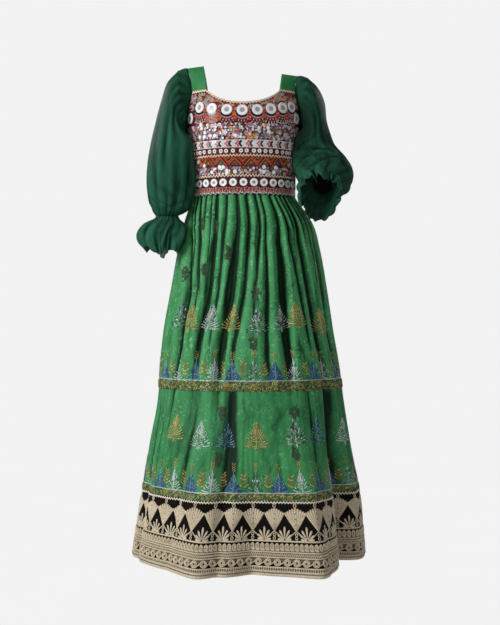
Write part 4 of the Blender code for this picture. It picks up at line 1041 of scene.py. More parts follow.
# Metallic trees on the front as the photo shows them, a plain run of them behind
bigTrees = {
    "upper": ((183, 302, "steel"), (194, 303, "gold"), (214, 303, "silver"), (235, 304, "gold"),
              (257, 308, "steel"), (279, 305, "silver"), (294, 300, "gold"), (318, 306, "gold")),
    "lower": ((178, 412, "gold"), (202, 422, "silver"), (228, 420, "blue"), (257, 422, "gold"),
              (292, 418, "steel"), (316, 418, "blue"), (342, 418, "silver")),
}
rosettes = {
    "upper": ((217, 226), (202, 225), (204, 271), (256, 296), (254, 342), (317, 278), (185, 273), (228, 252)),
    "lower": ((222, 413), (219, 460), (294, 411), (296, 456)),
}
for tier, seamZ in seams.items():
    for side in ("front", "back"):
        cloth = tiers[tier, side]
        pile = Pile("metal_thread_" + tier + "_" + side)
        if side == "front":
            for px, py, name in bigTrees[tier]:
                bigTree(pile, cloth, cloth.spot(px, py), 0.068, 0.074, name, rng.uniform(-6, 6))
            for px, py in rosettes[tier]:
                rosette(pile, cloth, cloth.spot(px, py), 0.015)
        else:
            row = int(cloth.rows * (0.6 if tier == "upper" else 0.42))
            for number, column in enumerate(np.linspace(0.06, 0.94, 8) * cloth.columns):
                name = ("gold", "silver", "gold", "steel")[number % 4]
                bigTree(pile, cloth, (row, int(column)), 0.065, 0.068, name, rng.uniform(-6, 6))
                if number % 2:
                    rosette(pile, cloth, (row - 14, int(column) - 8), 0.0105)
        row = rowAt(cloth, seamZ + bandHeight + 0.003)
        at, number, end = 0.016, 2 if tier == "upper" else 0, cloth.along[int(row), -1] - 0.02
        while at < end:
            column = int(np.searchsorted(cloth.along[int(row)], at))
            kind = number % 4
            if kind == 0:
                bandTree(pile, cloth, (row, column), 0.05, rng.uniform(0.046, 0.052), "blue", "copper")
            elif kind == 2:
                name = ("silver", "silver", "steel")[number % 3]
                bandTree(pile, cloth, (row, column), 0.053, rng.uniform(0.05, 0.056), name, "gold")
            else:
                sprig(pile, cloth, (row, column), rng.uniform(0.03, 0.04), ("gold", "copper")[number % 2])
            at += 0.0292 + rng.uniform(-0.002, 0.002)
            number += 1
        pile.build(finish, "gold_braid")


def longStrip(pile, cloth, row, along, downs, lifts, name):
    # A strip three points wide, all along a cloth
    columns = np.interp(along, cloth.along[row], np.arange(cloth.columns))
    rows = np.interp(downs.ravel(), cloth.down, np.arange(cloth.rows))
    points, out = cloth.at(rows, np.repeat(columns, 3))
    lift = np.tile(lifts, len(along))[:, None]
    pile.add((points + out * lift)[None], stripFaces(len(along)), name)


def lengthwise(pile, cloth, drop, wide, high, name, wave=0.0, length=0.0075, steps=4, base=0.00015):
    # A cord, or a wavy braid, all along the border at one height
    row = int(np.argmin(np.abs(cloth.down - drop)))
    total = cloth.along[row, -1]
    count = max(2, int(total / length * steps) if wave else int(total / 0.006))
    along = np.linspace(0.0005, total - 0.0005, count)
    offs = wave * (2 * np.abs((along / length) % 1 - 0.5) * 2 - 1)
    downs = drop + offs[:, None] + np.array([-0.5, 0.0, 0.5]) * wide
    longStrip(pile, cloth, row, along, downs, [base, base + high, base], name)


def dotted(pile, cloth, drop, spacing, radius, name, high=0.0009, shift=0.0, tall=1.0, turn=0.0, sides=6,
           shape=None):
    # A row of plates all along the border at one height
    reach = cloth.along[int(np.argmin(np.abs(cloth.down - drop)))]
    along = np.arange(spacing * (0.5 + shift), reach[-1] - 0.001, spacing)
    columns = np.interp(along, reach, np.arange(cloth.columns))
    rows = np.full(len(columns), np.interp(drop, cloth.down, np.arange(cloth.rows)))
    plates(pile, cloth, rows, columns, radius, shape or flatBead(high), sides, name, tall=tall, turn=turn)


# Hem border: black cloth, cream cut-out kites, deep cream braid
border = {"columns": 270, "rows": 46, "kites": 18}
rises = ((0.0, 0.0005), (0.006, 0.0005), (0.0075, 0.0), (0.0955, 0.0), (0.0975, 0.0012),
         (0.1665, 0.0012), (0.169, 0.0), (0.173, 0.0))
for side, (first, last) in halves.items():
    columns = evenSpots(first, last, border["columns"], borderTopZ - 0.05, False)
    drops = np.linspace(0, 0.173, border["rows"])
    rows = np.maximum(borderTopZ - seamGap - drops, hemZ)
    points, out, angles = skirtCloth(columns, rows, False)
    lift = np.interp(drops, *np.array(rises).T)
    cloth = Cloth(keepSeam(points + out * lift[:, None, None], first))
    stuffs = [finish["black"], finish["cream"], finish["tanDeep"]]
    piece = wall("border_cloth_" + side, cloth, borderWall, stuffs, "hem_border", ["hem_border_" + side])
    index = np.zeros(len(piece.data.polygons), dtype=np.int32)
    face = np.arange((border["rows"] - 1) * (border["columns"] - 1)) // (border["columns"] - 1)
    creamRows = (drops[face] > 0.157) & (drops[face] < 0.1695)
    index[:len(face)] = creamRows + 2 * ((drops[face] > 0.0985) & (drops[face] < 0.136))
    piece.data.polygons.foreach_set("material_index", index)

    pile = Pile("border_cords_" + side)
    width = cloth.along[20, -1]
    pitch = width / border["kites"]
    edges = np.arange(border["kites"] + 1) * pitch
    edges[1:-1] += rng.uniform(-0.11, 0.11, border["kites"] - 1) * pitch
    for number in range(border["kites"]):
        at = (edges[number] + edges[number + 1]) / 2
        spot = (0, int(np.searchsorted(cloth.along[20], at)))
        half = (edges[number + 1] - edges[number]) * 0.47
        top = np.linspace(-half, half, 9)
        high = 0.0155 + rng.uniform(-0.001, 0.002)
        fan = np.array([[(0.03 * x, 0.0715), (0.3 * x, 0.06), (0.64 * x, 0.044),
                         (0.93 * x, 0.029 - 0.004 * (1 - abs(x) / half)),
                         (x * 0.98, high + 0.0125 * (abs(x) / half) ** 1.6)] for x in top])
        ribbons(pile, cloth, spot, fan, (0.0014, 0.0026, 0.0048, 0.0066, 0.005), 0.0007, "tan")
        ribbons(pile, cloth, spot, fan, (0.0012, 0.002, 0.0035, 0.0048, 0.004), 0.002, "cream", base=0.0005)
        shoulder = high + 0.0125
        edge = [[(s * half, shoulder), (s * half * 0.5, (shoulder + 0.0715) / 2), (0, 0.0715),
                 (-s * pitch * 0.22, 0.0815), (-s * pitch * 0.43, 0.092)] for s in (-1, 1)]
        ribbons(pile, cloth, spot, edge, 0.0025, 0.0022, "cream")
        # One loop of cord in the kite's head and two under its point
        loop = np.linspace(0, 2 * math.pi, 11)
        for drop, tall, wide, high in ((0.0108, 0.0052, 0.0022, 0.0016), (0.08, 0.0032, 0.0019, 0.0014),
                                       (0.0885, 0.0032, 0.0019, 0.0014)):
            ring = np.stack([np.sin(loop) * 0.003, drop - np.cos(loop) * tall], axis=-1)
            ribbons(pile, cloth, spot, ring, wide, high, "cream")
        dots = cloth.lay(*spot, np.zeros(3), np.linspace(0.03, 0.056, 3))
        plates(pile, cloth, *dots, 0.0015, flatBead(0.0006), 6, "brownThread", lift=0.0026)
    for number in range(border["kites"] + 1):
        at = min(max(edges[number], 0.003), width - 0.003)
        column = int(np.searchsorted(cloth.along[20], at))
        turn, reach = np.radians([-82, -54, -27, 0, 27, 54, 82]), np.array([17, 22, 27, 33, 27, 22, 17]) * mm
        reach = reach[:, None] * [0.1, 0.35, 0.6, 0.82, 0.97]
        petals = np.stack([np.sin(turn)[:, None] * reach, 0.093 - np.cos(turn)[:, None] * reach], axis=-1)
        ribbons(pile, cloth, (0, column), petals, (0.0014, 0.0028, 0.0044, 0.0052, 0.0026), 0.002, "cream")

    braids = pile, cloth
    lengthwise(*braids, 0.0034, 0.0036, 0.0018, "ivory", wave=0.0021, length=0.0078, steps=6)
    lengthwise(*braids, 0.0958, 0.0038, 0.0018, "cream")
    oval = ((1.0, 0.0), (0.8, 0.0018), (0.54, 0.0005, "tan"), (0.36, 0.0016), (0.14, 0.0004, "black"))
    dotted(*braids, 0.1098, 0.0122, 0.0055, "cream", sides=12, shape=oval, tall=1.75)
    dotted(*braids, 0.117, 0.0122, 0.003, "cream", 0.0014, shift=0.5, tall=0.8)
    for drop in (0.1025, 0.1095):
        dotted(*braids, drop, 0.0122, 0.0015, "black", 0.0012, shift=0.5, tall=1.4)
    dotted(*braids, 0.1285, 0.0052, 0.0044, "cream", 0.0018, tall=0.38, turn=math.radians(50), sides=8)
    circle = ((1.0, 0.0), (0.9, 0.0018), (0.74, 0.0007, "tan"), (0.6, 0.0018), (0.4, 0.0007, "tan"),
              (0.22, 0.0014, "black"))
    dotted(*braids, 0.1465, 0.024, 0.009, "cream", sides=20, shape=circle, tall=1.05)
    row = int(np.argmin(np.abs(cloth.down - 0.1465)))
    diagonals = np.arange(0.024, cloth.along[row, -1] - 0.012, 0.024)
    bars = [[(at - 0.0062, 0.155), (at, 0.1465), (at + 0.0062, 0.138)] for at in diagonals]
    ribbons(*braids, (0, 0), bars, 0.003, 0.0016, "cream", base=0.0006)
    for drop, wide, high in ((0.1222, 0.003, 0.0014), (0.1346, 0.003, 0.0014), (0.158, 0.003, 0.0015),
                             (0.1682, 0.0026, 0.0014)):
        lengthwise(*braids, drop, wide, high, "cream")
    for drop, shift in ((0.1612, 0.0), (0.165, 0.5)):
        dotted(*braids, drop, 0.0058, 0.0023, "cream", 0.0017, shift=shift, tall=0.8)
        dotted(*braids, drop, 0.0058, 0.001, "black", 0.0012, shift=shift + 0.5)
    dotted(*braids, 0.1712, 0.0062, 0.002, "tan", 0.0016, tall=0.9)
    dotted(*braids, 0.1714, 0.0062, 0.0014, "beadBlack", 0.0018, shift=0.5, tall=1.2)
    pile.build(finish, "cream_braid")
print("border done", flush=True)


def neckEdge(angle):
    away = np.abs(anglesApart(angle, 0))
    front = neckLowZ + (strapBaseZ - neckLowZ) * (away / strapInner) ** 2.2
    share = np.abs(away - 90) / (90 - strapOuter)
    arm = underarmZ + (strapBaseZ - underarmZ) * (1 - clamp(1 - share) ** 0.8)
    backShare = (180 - away) / strapInner
    back = backNeckLowZ + (strapBaseZ - backNeckLowZ) * backShare ** 2
    edge = np.where(away <= strapInner, front, strapBaseZ)
    edge = np.where((away > strapOuter) & (away <= 180 - strapOuter), arm, edge)
    return np.where(away > 180 - strapInner, back, edge)


def bodiceCloth(first, last, columns, rows, puff):
    angles = np.linspace(first, last, columns)
    tops = neckEdge(angles)
    share = np.linspace(0, 1, rows)[:, None]
    z = tops + (waistZ + seamGap / 2 - tops) * share
    wide = np.broadcast_to(angles, z.shape)
    point, out = bodySection(bodiceLevels, wide, z)
    across = np.radians(anglesApart(wide, 0 if puff else 180)) * 0.13
    uneven = puff * mm * ripples(z, across, 21, 0.02) + 0.0003 * ripples(across, z, 5, 0.012)
    edges = clamp(np.minimum(share, 1 - share) / 0.08)
    return Cloth(keepSeam(point + out * (uneven * edges)[..., None], first))


bodice = bodiceCloth(-90.0, 90.0, 150, 62, 0.5)
bodiceBack = bodiceCloth(90.0, 270.0, 96, 42, 0.0)
wall("bodice_cloth_front", bodice, bodiceWall, [finish["ground"]], "embroidery", ["bodice_front"])
wall("bodice_cloth_back", bodiceBack, satinWall, [plainGreen], "green_satin", ["bodice_back"])


def onBodice(angle, z):
    # Rows and columns of the bodice front at angles and heights
    angle, z = np.broadcast_arrays(np.asarray(angle, float), np.asarray(z, float))
    columns = (angle + 90) / 180 * (bodice.columns - 1)
    tops = neckEdge(angle)
    rows = (z - tops) / (waistZ + seamGap / 2 - tops) * (bodice.rows - 1)
    return rows, columns


def bodiceCover(angles, z, lift):
    # A strip that follows the bodice, lift metres off its plain form
    angles, z = np.broadcast_arrays(angles, z)
    point, out = bodySection(bodiceLevels, angles, z)
    return Cloth(point + out * lift)


def beadString(pile, angles, heights, radius, names, high=0.0016):
    # Beads at given angles and heights; names are finishes that repeat in turn
    rows, columns = onBodice(angles, heights)
    inside = (rows > 1.8) & (rows < bodice.rows - 1.5) & (np.abs(angles) < 86)
    inTurn(pile, rows[inside], columns[inside], radius, names, high)


def inTurn(pile, rows, columns, radius, names, high):
    # Beads on the bodice front whose finishes follow each other
    for number, name in enumerate(names):
        pick = slice(number, None, len(names))
        plates(pile, bodice, rows[pick], columns[pick], radius, dome(high), 6, name)


def perDegree(z, angle=0.0):
    # Metres along the bodice for one degree
    a = bodySection(bodiceLevels, np.array([angle - 0.5, angle + 0.5]), np.array([z, z]))[0]
    return float(np.linalg.norm(a[1] - a[0]))


bigDiscAngles = np.array([-49.5, -33, -16.5, -1, 14, 28.5, 43, 57])
bigDiscZ = -0.1255 + (-0.109 + 0.1255) * (np.abs(bigDiscAngles) / 57) ** 1.6
sideDisc = ((-68.0, 68.0), -0.137)
smallDiscAngles = (np.arange(13) - 6) * 11.2
discShape = ((1.0, 0.0), (0.97, 0.0011), (0.86, 0.0018), (0.62, 0.0013), (0.52, 0.0016),
             (0.44, 0.001, "mirror"), (0.2, 0.0011, "mirror"))
smallShape = ((1.0, 0.0), (0.96, 0.0011), (0.84, 0.0018), (0.52, 0.0012), (0.44, 0.0014, "mirror"),
              (0.17, 0.0008, "beadBrown"))
discs = Pile("sewn_discs")
for angles, z, radius, shape, sides in (
        (bigDiscAngles, bigDiscZ, 0.0146, discShape, 28), (sideDisc[0], sideDisc[1], 0.0146, discShape, 28),
        (smallDiscAngles, -0.309, 0.0102, smallShape, 24)):
    plates(discs, bodice, *onBodice(angles, z), radius, shape, sides, "shell", lift=discLift)
discNodes = (["disc_upper_" + str(k) for k in range(1, 9)] + ["disc_side_right", "disc_side_left"]
             + ["disc_lower_" + str(k) for k in range(1, 14)])
discs.build(finish, "disc", discNodes)

work = Pile("bodice_embroidery")
# Bead swags under each big disc, with orange points between them
swags = ((("beadPink", "beadWhite"), 0.0015), (("beadRed",), 0.0018), (("beadWhite", "beadBlack"), 0.0016),
         (("beadRed",), 0.0016), (("beadBlack", "beadCream"), 0.0016), (("beadBlack", "beadWhite"), 0.0016))
warmSwags = ((("beadOrange",), 0.0017), (("beadOlive", "beadCream"), 0.0015), (("beadOrange",), 0.0016))
for number, (angle, z) in enumerate(zip(bigDiscAngles, bigDiscZ)):
    step = perDegree(z, angle)
    turns = np.radians(np.linspace(-86, 86, 25))
    for reach, size in ((0.0156, 0.0017), (0.018, 0.0019)):
        beadString(work, angle + np.sin(turns) * reach / step, z - reach * np.cos(turns), size,
                   ("beadBlack",), 0.002)
    reach, line = 0.0212, 0
    while z - reach > -0.159:
        half = min(0.0172, reach * 0.86)
        names, size = (warmSwags if number == 1 else swags)[line % (3 if number == 1 else 6)]
        x = np.linspace(-half, half, int(half / size))
        beadString(work, angle + x / step, z - np.sqrt(reach ** 2 - x ** 2), size, names, 0.0018)
        reach, line = reach + 0.0033, line + 1
gaps = (bigDiscAngles[:-1] + bigDiscAngles[1:]) / 2
for number, angle in enumerate(gaps):
    z = float(np.interp(angle, bigDiscAngles, bigDiscZ))
    row, column = onBodice(angle, z - 0.008)
    spot = (int(row), int(column))
    for k in range(8):
        y = 0.0036 * k - 0.006
        reach = 0.0032 + 0.003 * math.sin(math.pi * (k + 0.5) / 8)
        name = ("orangeThread", "redThread", "orangeThread", "brownThread")[(k + number) % 4]
        ribbons(work, bodice, spot, [[(-reach, y + 0.004), (0, y), (reach, y + 0.004)]],
                0.0026, 0.0014, name, base=0.0014)
    kind = ("beadIndigo", "beadRed", "beadOrange")[number % 3]
    below = bodice.lay(*spot, np.array([0.0]), np.array([0.008]))
    plates(work, bodice, *below, 0.0028, flatBead(0.0018), 4, kind, lift=0.0018)

# Two fields of sequins with beads between them
sequinNames = ("sequinSilver", "sequinPurple", "sequinPink", "sequinTeal", "sequinOrange", "sequinGold",
               "shell", "beadBrown")
sequinShares = (0.31, 0.22, 0.075, 0.1, 0.055, 0.09, 0.01, 0.14)
fillBeads = ("beadRed", "beadBrown", "beadBlack", "beadPink", "beadOlive", "beadBlack", "beadBrown",
             "beadOrange", "beadBlack", "beadCream")
ring = ((1.0, 0.0003), (0.92, 0.0009), (0.42, 0.0005), (0.26, 0.0002, "black"))
cup = ((1.0, 0.0003), (0.9, 0.001), (0.45, 0.0006))


def sequinField(top, bottom, half, pitch, smallest, largest, seed):
    local = np.random.default_rng(seed)
    z = top - pitch / 2
    line = 0
    while z > bottom + pitch * 0.3:
        step = perDegree(z)
        count = int(2 * half * step / pitch)
        angles = np.linspace(-half, half, count) + (0.5 * (line % 2)) * 2 * half / count
        angles = angles + local.uniform(-0.3, 0.3, count) * pitch / step
        heights = z + local.uniform(-0.25, 0.25, count) * pitch
        size = local.uniform(smallest, largest, count)
        kinds = local.choice(len(sequinNames), count, p=sequinShares)
        holed = local.uniform(size=count) < 0.45
        rows, columns = onBodice(np.clip(angles, -84, 84), heights)
        kinds = np.where((rows > 2.5) & (np.abs(angles) < 84), kinds, -1)
        lifts = 0.0002 + 0.0012 * local.uniform(size=count)
        for kind, name in enumerate(sequinNames):
            for shape, pick in ((ring, (kinds == kind) & holed), (cup, (kinds == kind) & ~holed)):
                if pick.any():
                    plates(work, bodice, rows[pick], columns[pick], size[pick], shape, 12, name,
                           lift=float(lifts[pick].mean()))
        count = int(count * 3.2)
        angles = local.uniform(-half, half, count)
        heights = z + local.uniform(-0.6, 0.6, count) * pitch
        beadString(work, angles, heights, 0.0012, fillBeads, 0.0013)
        z -= pitch * 0.86
        line += 1


sequinField(-0.1585, -0.1995, 82, 0.0078, 0.0025, 0.0046, 5)
sequinField(-0.269, -0.2885, 82, 0.0076, 0.0024, 0.0042, 9)
patchBeads = (("beadOlive", "beadCream"), ("beadRed", "beadRed", "beadBlack"),
              ("beadOrange", "beadOrange", "beadCream"), ("sequinSilver", "beadBrown"),
              ("beadBlack", "beadBrown"), ("beadOlive", "sequinSilver"), ("sequinSilver", "sequinPurple"),
              ("beadBrown", "beadRed"))
for z in np.arange(-0.07, -0.146, -0.0027):
    angles = np.arange(-76, 76, 0.0027 / perDegree(z))
    clear = np.ones(len(angles), dtype=bool)
    for angle, middle in zip(bigDiscAngles, bigDiscZ):
        off = np.hypot((angles - angle) * perDegree(middle, angle), z - middle)
        clear &= off > (0.018 if z < middle else 0.015)
    clear &= z > np.interp(angles, bigDiscAngles, bigDiscZ) - 0.004
    angles = angles[clear]
    block = (np.floor((angles + 2 * math.sin(z * 300)) / 3.4) + 60).astype(int) * 37 + int(z / 0.0068) * 101
    patch = np.array([int(np.random.default_rng(b % 9973).integers(8)) for b in block])
    for kind, names in enumerate(patchBeads):
        beadString(work, angles[patch == kind], z, 0.0015, names, 0.0014)
# Single white sequins: angle and height in mm, then their sizes and lift
whites = (
    (((-47, -159), (-46, -168), (-42, -180), (-50, -190), (-43, -190.5), (-8, -191), (26, -180), (25, -171),
      (-30, -190)), 0.0046, 0.0056, 0.0016),
    (((-56, -253), (-46, -264), (-36, -282), (-22, -270), (-18, -279), (-18, -285), (-9, -282), (22, -270),
      (22, -282), (34, -282), (36, -270), (-26, -270)), 0.0042, 0.0052, 0.0018),
)
for spots, smallest, largest, lift in whites:
    angles, heights = np.array(spots).T
    sizes = rng.uniform(smallest, largest, len(spots))
    plates(work, bodice, *onBodice(angles, heights * mm), sizes, cup, 18, "shell", lift=lift)

# Ring discs on dark red above the middle braid
angles = np.linspace(-78, 78, 24) + rng.uniform(-1.2, 1.2, 24)
ringDisc = ((1.0, 0.0003), (0.9, 0.0013), (0.48, 0.001), (0.36, 0.0004, "black"))
plates(work, bodice, *onBodice(angles, -0.2295), 0.0053, ringDisc, 16, "shell", lift=0.0004)
between = np.linspace(-80, 80, 90)
for z, names in ((-0.2245, ("beadRed", "beadBlack")), (-0.235, ("beadRed", "beadOrange", "beadBlack"))):
    beadString(work, between, z, 0.0013, names, 0.0012)

# Slanted stitches that cross in points between the two braids
threadsDown = ("orangeThread", "brownThread", "orangeThread", "redThread")
threadsUp = ("redThread", "beadOlive", "brownThread", "orangeThread")
for group in range(-4, 5):
    for upward in (False, True):
        angle = group * 16.0 + (8.0 if upward else 0.0)
        if abs(angle) > 58:
            continue
        row, column = onBodice(angle, -0.2685 if upward else -0.246)
        spot, way = (int(row), int(column)), (-1 if upward else 1)
        for k in range(4):
            reach = 0.0036 + 0.0044 * k
            drop = min(reach * 1.15, 0.0195)
            tipX = reach - drop / 1.15
            paths = [[(s * reach, 0.0), (s * (reach + tipX) / 2, way * drop / 2),
                      (s * tipX, way * drop)] for s in (-1, 1)]
            ribbons(work, bodice, spot, paths, 0.0019, 0.0014, (threadsUp if upward else threadsDown)[k],
                    base=0.0004 + 0.0004 * upward)
    if abs(group) < 4:
        kind, size = {-2: ("beadGreen", 0.0052), 2: ("beadIndigo", 0.0052), -1: ("beadRed", 0.003)}.get(
            group, ("beadOrange", 0.003))
        plates(work, bodice, *onBodice(group * 16.0 + 8.0, -0.2585), size, flatBead(0.0018), 4, kind,
               lift=0.0014)
sides = np.concatenate([np.linspace(-82, -52, 16), np.linspace(52, 82, 14)])
for z in (-0.25, -0.257, -0.264):
    for name in ("sequinPurple", "sequinGold", "beadBrown", "sequinSilver"):
        angles = rng.choice(sides, 6, replace=False) + rng.uniform(-1, 1, 6)
        plates(work, bodice, *onBodice(angles, z + rng.uniform(-0.002, 0.002, 6)), 0.0034, cup, 10, name,
               lift=0.0012)
angles = np.linspace(-80, 80, 150)
for z in (-0.248, -0.253, -0.258, -0.263, -0.2675):
    beadString(work, angles + rng.uniform(-0.4, 0.4, 150), z, 0.0011, ("beadBlack", "beadBlack", "beadBrown"),
               0.001)
work.build(finish, "embroidery")

# Chevron band of beads
beads = Pile("chevron_beads")
share = np.linspace(0, 1, 5)[:, None]
crown = 0.001 * (1 - np.abs(2 * share - 1) ** 3 * 0.6)
bandFace = bodiceCover(np.linspace(-75, 75, 150), -0.2015 - 0.02 * share, (seamGap + crown)[..., None])
wall("bead_band_backing", bandFace, beadWall, [finish["beadWhite"]], "beads", ["bead_band"])
rowsOfBeads, count = 9, 136
steps = np.linspace(1, bandFace.columns - 2, count)
beadX = np.interp(steps, np.arange(bandFace.columns), bandFace.along[2])
for first, wide, name in ((0.95, 0.0046, "beadRed"), (3.8, 0.0066, "beadBlack")):
    numbers = np.arange(first, 133, 10.0)
    lean = 0.62 * 4 * (beadX[1] - beadX[0])
    middles = np.interp(numbers, np.arange(count), beadX)
    marks = [[(x + lean, 0.0022), (x + lean / 2, 0.0061), (x, 0.01), (x + lean / 2, 0.0139),
              (x + lean, 0.0178)] for x in middles]
    ribbons(beads, bandFace, (0, 0), marks, wide, 0.001, name, base=0.0003)
for line in range(rowsOfBeads):
    rows = np.full(count, (line + 0.5) / rowsOfBeads * (bandFace.rows - 1.01))
    off = abs(line - (rowsOfBeads - 1) / 2)
    step = (np.arange(count) - 0.62 * off) % 10.0
    names = np.select([step < 1.9, (step >= 2.5) & (step < 5.1), (step >= 6.8) & (step < 8.6)],
                      ["beadRed", "beadBlack", "beadBlue"], "beadWhite")
    if off >= (rowsOfBeads - 1) / 2 - 0.1:
        names = np.where(np.arange(count) % 3 == 0, "beadPink", "beadWhite")
    for name in np.unique(names):
        pick = names == name
        plates(beads, bandFace, rows[pick], steps[pick], 0.0015, dome(0.0014), 6, str(name))
beads.build(finish, "beads")


def ricrac(name, cloth, pitch, wave, width, replaced):
    # A flat braid that zigzags in its own plane
    pile, row = Pile(name), cloth.rows // 2
    total = cloth.along[row, -1]
    along = np.linspace(0.001, total - 0.001, int(total / pitch * 8))
    sway = wave * np.sin(2 * math.pi * along / pitch)
    for low, high in ((-0.5, -0.12), (-0.16, 0.16), (0.12, 0.5)):
        downs = cloth.down[-1] / 2 + sway[:, None] + np.array([low, (low + high) / 2, high]) * width
        longStrip(pile, cloth, row, along, downs, [0.0003, 0.0012, 0.0003], "peach")
    pile.build(finish, "cream_braid", [replaced])


angles, drops = np.linspace(-75, 75, 220), np.linspace(0.0045, -0.0045, 5)[:, None]
for name, middle in (("ricrac_middle", -0.241), ("ricrac_low", -0.292)):
    ricrac("braid_" + name, bodiceCover(angles, middle + drops, seamGap), 0.0086, 0.0021, 0.0036, name)
angles = np.linspace(-66, 66, 220)
edge = bodiceCover(angles, neckEdge(angles) - np.linspace(-0.0012, 0.006, 5)[:, None], seamGap)
ricrac("braid_neckline", edge, 0.0085, 0.0026, 0.0056, "ricrac_neck")

# Bead net and picots at the waist
net = Pile("waist_beads")
for angle in smallDiscAngles:
    step = perDegree(-0.31, angle)
    turns = np.radians(np.linspace(-75, 75, 13))
    inTurn(net, *onBodice(angle + np.sin(turns) * 0.0112 / step, -0.309 - 0.0112 * np.cos(turns)), 0.0013,
           ("beadBlack",), 0.0015)
lines = ((-0.3225, ("beadRed", "beadPink"), 0.0), (-0.3255, ("beadRed", "beadBlack", "beadCream"), 0.5),
         (-0.3285, ("beadOrange", "beadRed", "beadPink"), 0.0), (-0.3315, ("beadRed", "beadCream"), 0.5))
for z, names, shift in lines:
    angles = np.linspace(-80, 80, 118) + shift * 160 / 118
    inTurn(net, *onBodice(angles, z + 0.0012 * np.sin(angles * 0.56)), 0.0014, names, 0.0014)
wave = np.cos(2 * math.pi * np.arange(150) / 6.0)
for names, depth, base in ((("beadGreen", "beadWhite", "beadWhite"), 0.0015, -0.3345),
                           (("beadWhite", "beadWhite", "beadBlack"), 0.002, -0.3372)):
    heights = np.maximum(base + depth * wave, waistZ + 0.0012)
    inTurn(net, *onBodice(np.linspace(-82, 82, 150), heights), 0.0014, names, 0.0016)
net.build(finish, "beads")
print("bodice done", flush=True)


def strapGrid(side, innerX, outerX, topZ, columns=3, half=6):
    shares = np.linspace(0, 1, columns + 1)
    angles = strapInner + (strapOuter - strapInner) * shares
    base = np.full(shares.shape, strapBaseZ)
    front, back = (bodySection(bodiceLevels, side * turn, base)[0] + [0.0, 0.0, seamGap]
                   for turn in (angles, 180 - angles))
    tops = np.stack([innerX + (outerX - innerX) * shares, np.full(shares.shape, 0.004),
                     topZ - 0.006 * shares], axis=-1)
    up, over = np.array([0.0, 0.0, 0.085]), np.array([0.0, 0.085, 0.0])
    rows = [hermite(front, tops, up, over, t) for t in np.linspace(0, 1, half + 1)]
    rows += [hermite(tops, back, over, -up, t) for t in np.linspace(0, 1, half + 1)[1:]]
    grid = np.stack(rows)
    return grid if side > 0 else grid[:, ::-1]


def smoothRows(values, at):
    # Cubic curve through the rows of a table, at fractional row numbers
    slopes = np.gradient(values, axis=0)
    left = np.clip(np.floor(at).astype(int), 0, len(values) - 2)
    t = (at - left)[:, None]
    return hermite(values[left], values[left + 1], slopes[left], slopes[left + 1], t)


def armholeEdge(side, strap, turn):
    # The armhole's edge at each turn round the sleeve
    outer = strap[:, -1] if side > 0 else strap[:, 0]
    angles = np.linspace(112.0, 68.0, 23)
    low = bodySection(bodiceLevels, side * angles, neckEdge(angles))[0]
    corners = np.concatenate([outer, low])
    middle = (corners[:, 2].max() + corners[:, 2].min()) / 2
    around = np.arctan2(-corners[:, 1], corners[:, 2] - middle)
    order = np.argsort(around)
    around, corners = around[order], corners[order]
    around = np.concatenate([around - 2 * math.pi, around, around + 2 * math.pi])
    corners = np.concatenate([corners] * 3)
    return np.stack([np.interp(turn, around, corners[:, k]) for k in range(3)], axis=-1)


def clearOfBody(points, side):
    # Sleeve points moved sideways where they would touch the bodice or the skirt
    moved = points.copy()
    for levels, top, bottom in ((bodiceLevels, 1.0, waistZ), (skirtLevels, waistZ, -2.0)):
        z = moved[..., 2]
        left, right = smoothColumn(levels, z, 1), smoothColumn(levels, z, 2)
        depth = np.where(moved[..., 1] < 0, smoothColumn(levels, z, 3), smoothColumn(levels, z, 4))
        flat = clamp(1 - (moved[..., 1] / depth) ** 2)
        limit = (left + right) / 2 + side * ((right - left) / 2 * np.sqrt(flat) + bodyClear)
        near = (z <= top) & (z > bottom) & (side * (moved[..., 0] - limit) < 0) & (flat > 0)
        moved[..., 0] = np.where(near, limit, moved[..., 0])
    return moved


def tubeGrid(rings, startSide, at, turn, side, swell):
    # Points round a bent tube at fractional ring numbers; swell adds metres outwards
    table = smoothRows(rings, at)
    axes = unit(table[:, 3:6])
    up, ups = np.array(startSide, dtype=float), []
    for axis in axes:
        up = unit(up - axis * np.dot(up, axis))
        ups.append(up)
    ups = np.array(ups)
    forward = side * np.cross(axes, ups)
    reach = 1 + swell / ((table[:, 6] + table[:, 7]) / 2)[:, None]
    x = np.cos(turn) * table[:, 6:7] * reach
    y = np.sin(turn) * table[:, 7:8] * reach
    return table[:, None, :3] + x[..., None] * ups[:, None] + y[..., None] * forward[:, None], axes


# Long soft folds of each sleeve: turn at the head, drift to the wrist, depth mm, width
sleeveFolds = {
    "right": ((-150, 40, 6.5, 13), (-118, 26, 5.5, 11), (-86, 18, 7.0, 13), (-56, 8, 6.0, 11),
              (-28, -6, 5.5, 10), (-2, -14, 6.0, 11), (22, -8, 6.5, 10), (46, 8, 8.0, 11),
              (68, 20, 6.5, 9), (92, 30, 7.5, 12), (118, 36, 6.0, 10), (142, 40, 6.5, 12),
              (168, 44, 5.5, 12)),
    "left": ((-152, -30, 6.0, 13), (-120, -22, 5.5, 11), (-88, -12, 6.5, 13), (-58, -4, 6.0, 11),
             (-30, 8, 6.0, 10), (-4, 12, 5.5, 10), (20, 6, 6.0, 10), (44, -6, 7.5, 11),
             (68, -14, 6.5, 10), (92, -20, 7.0, 11), (118, -24, 6.0, 10), (142, -30, 6.0, 12),
             (166, -34, 5.5, 12)),
}
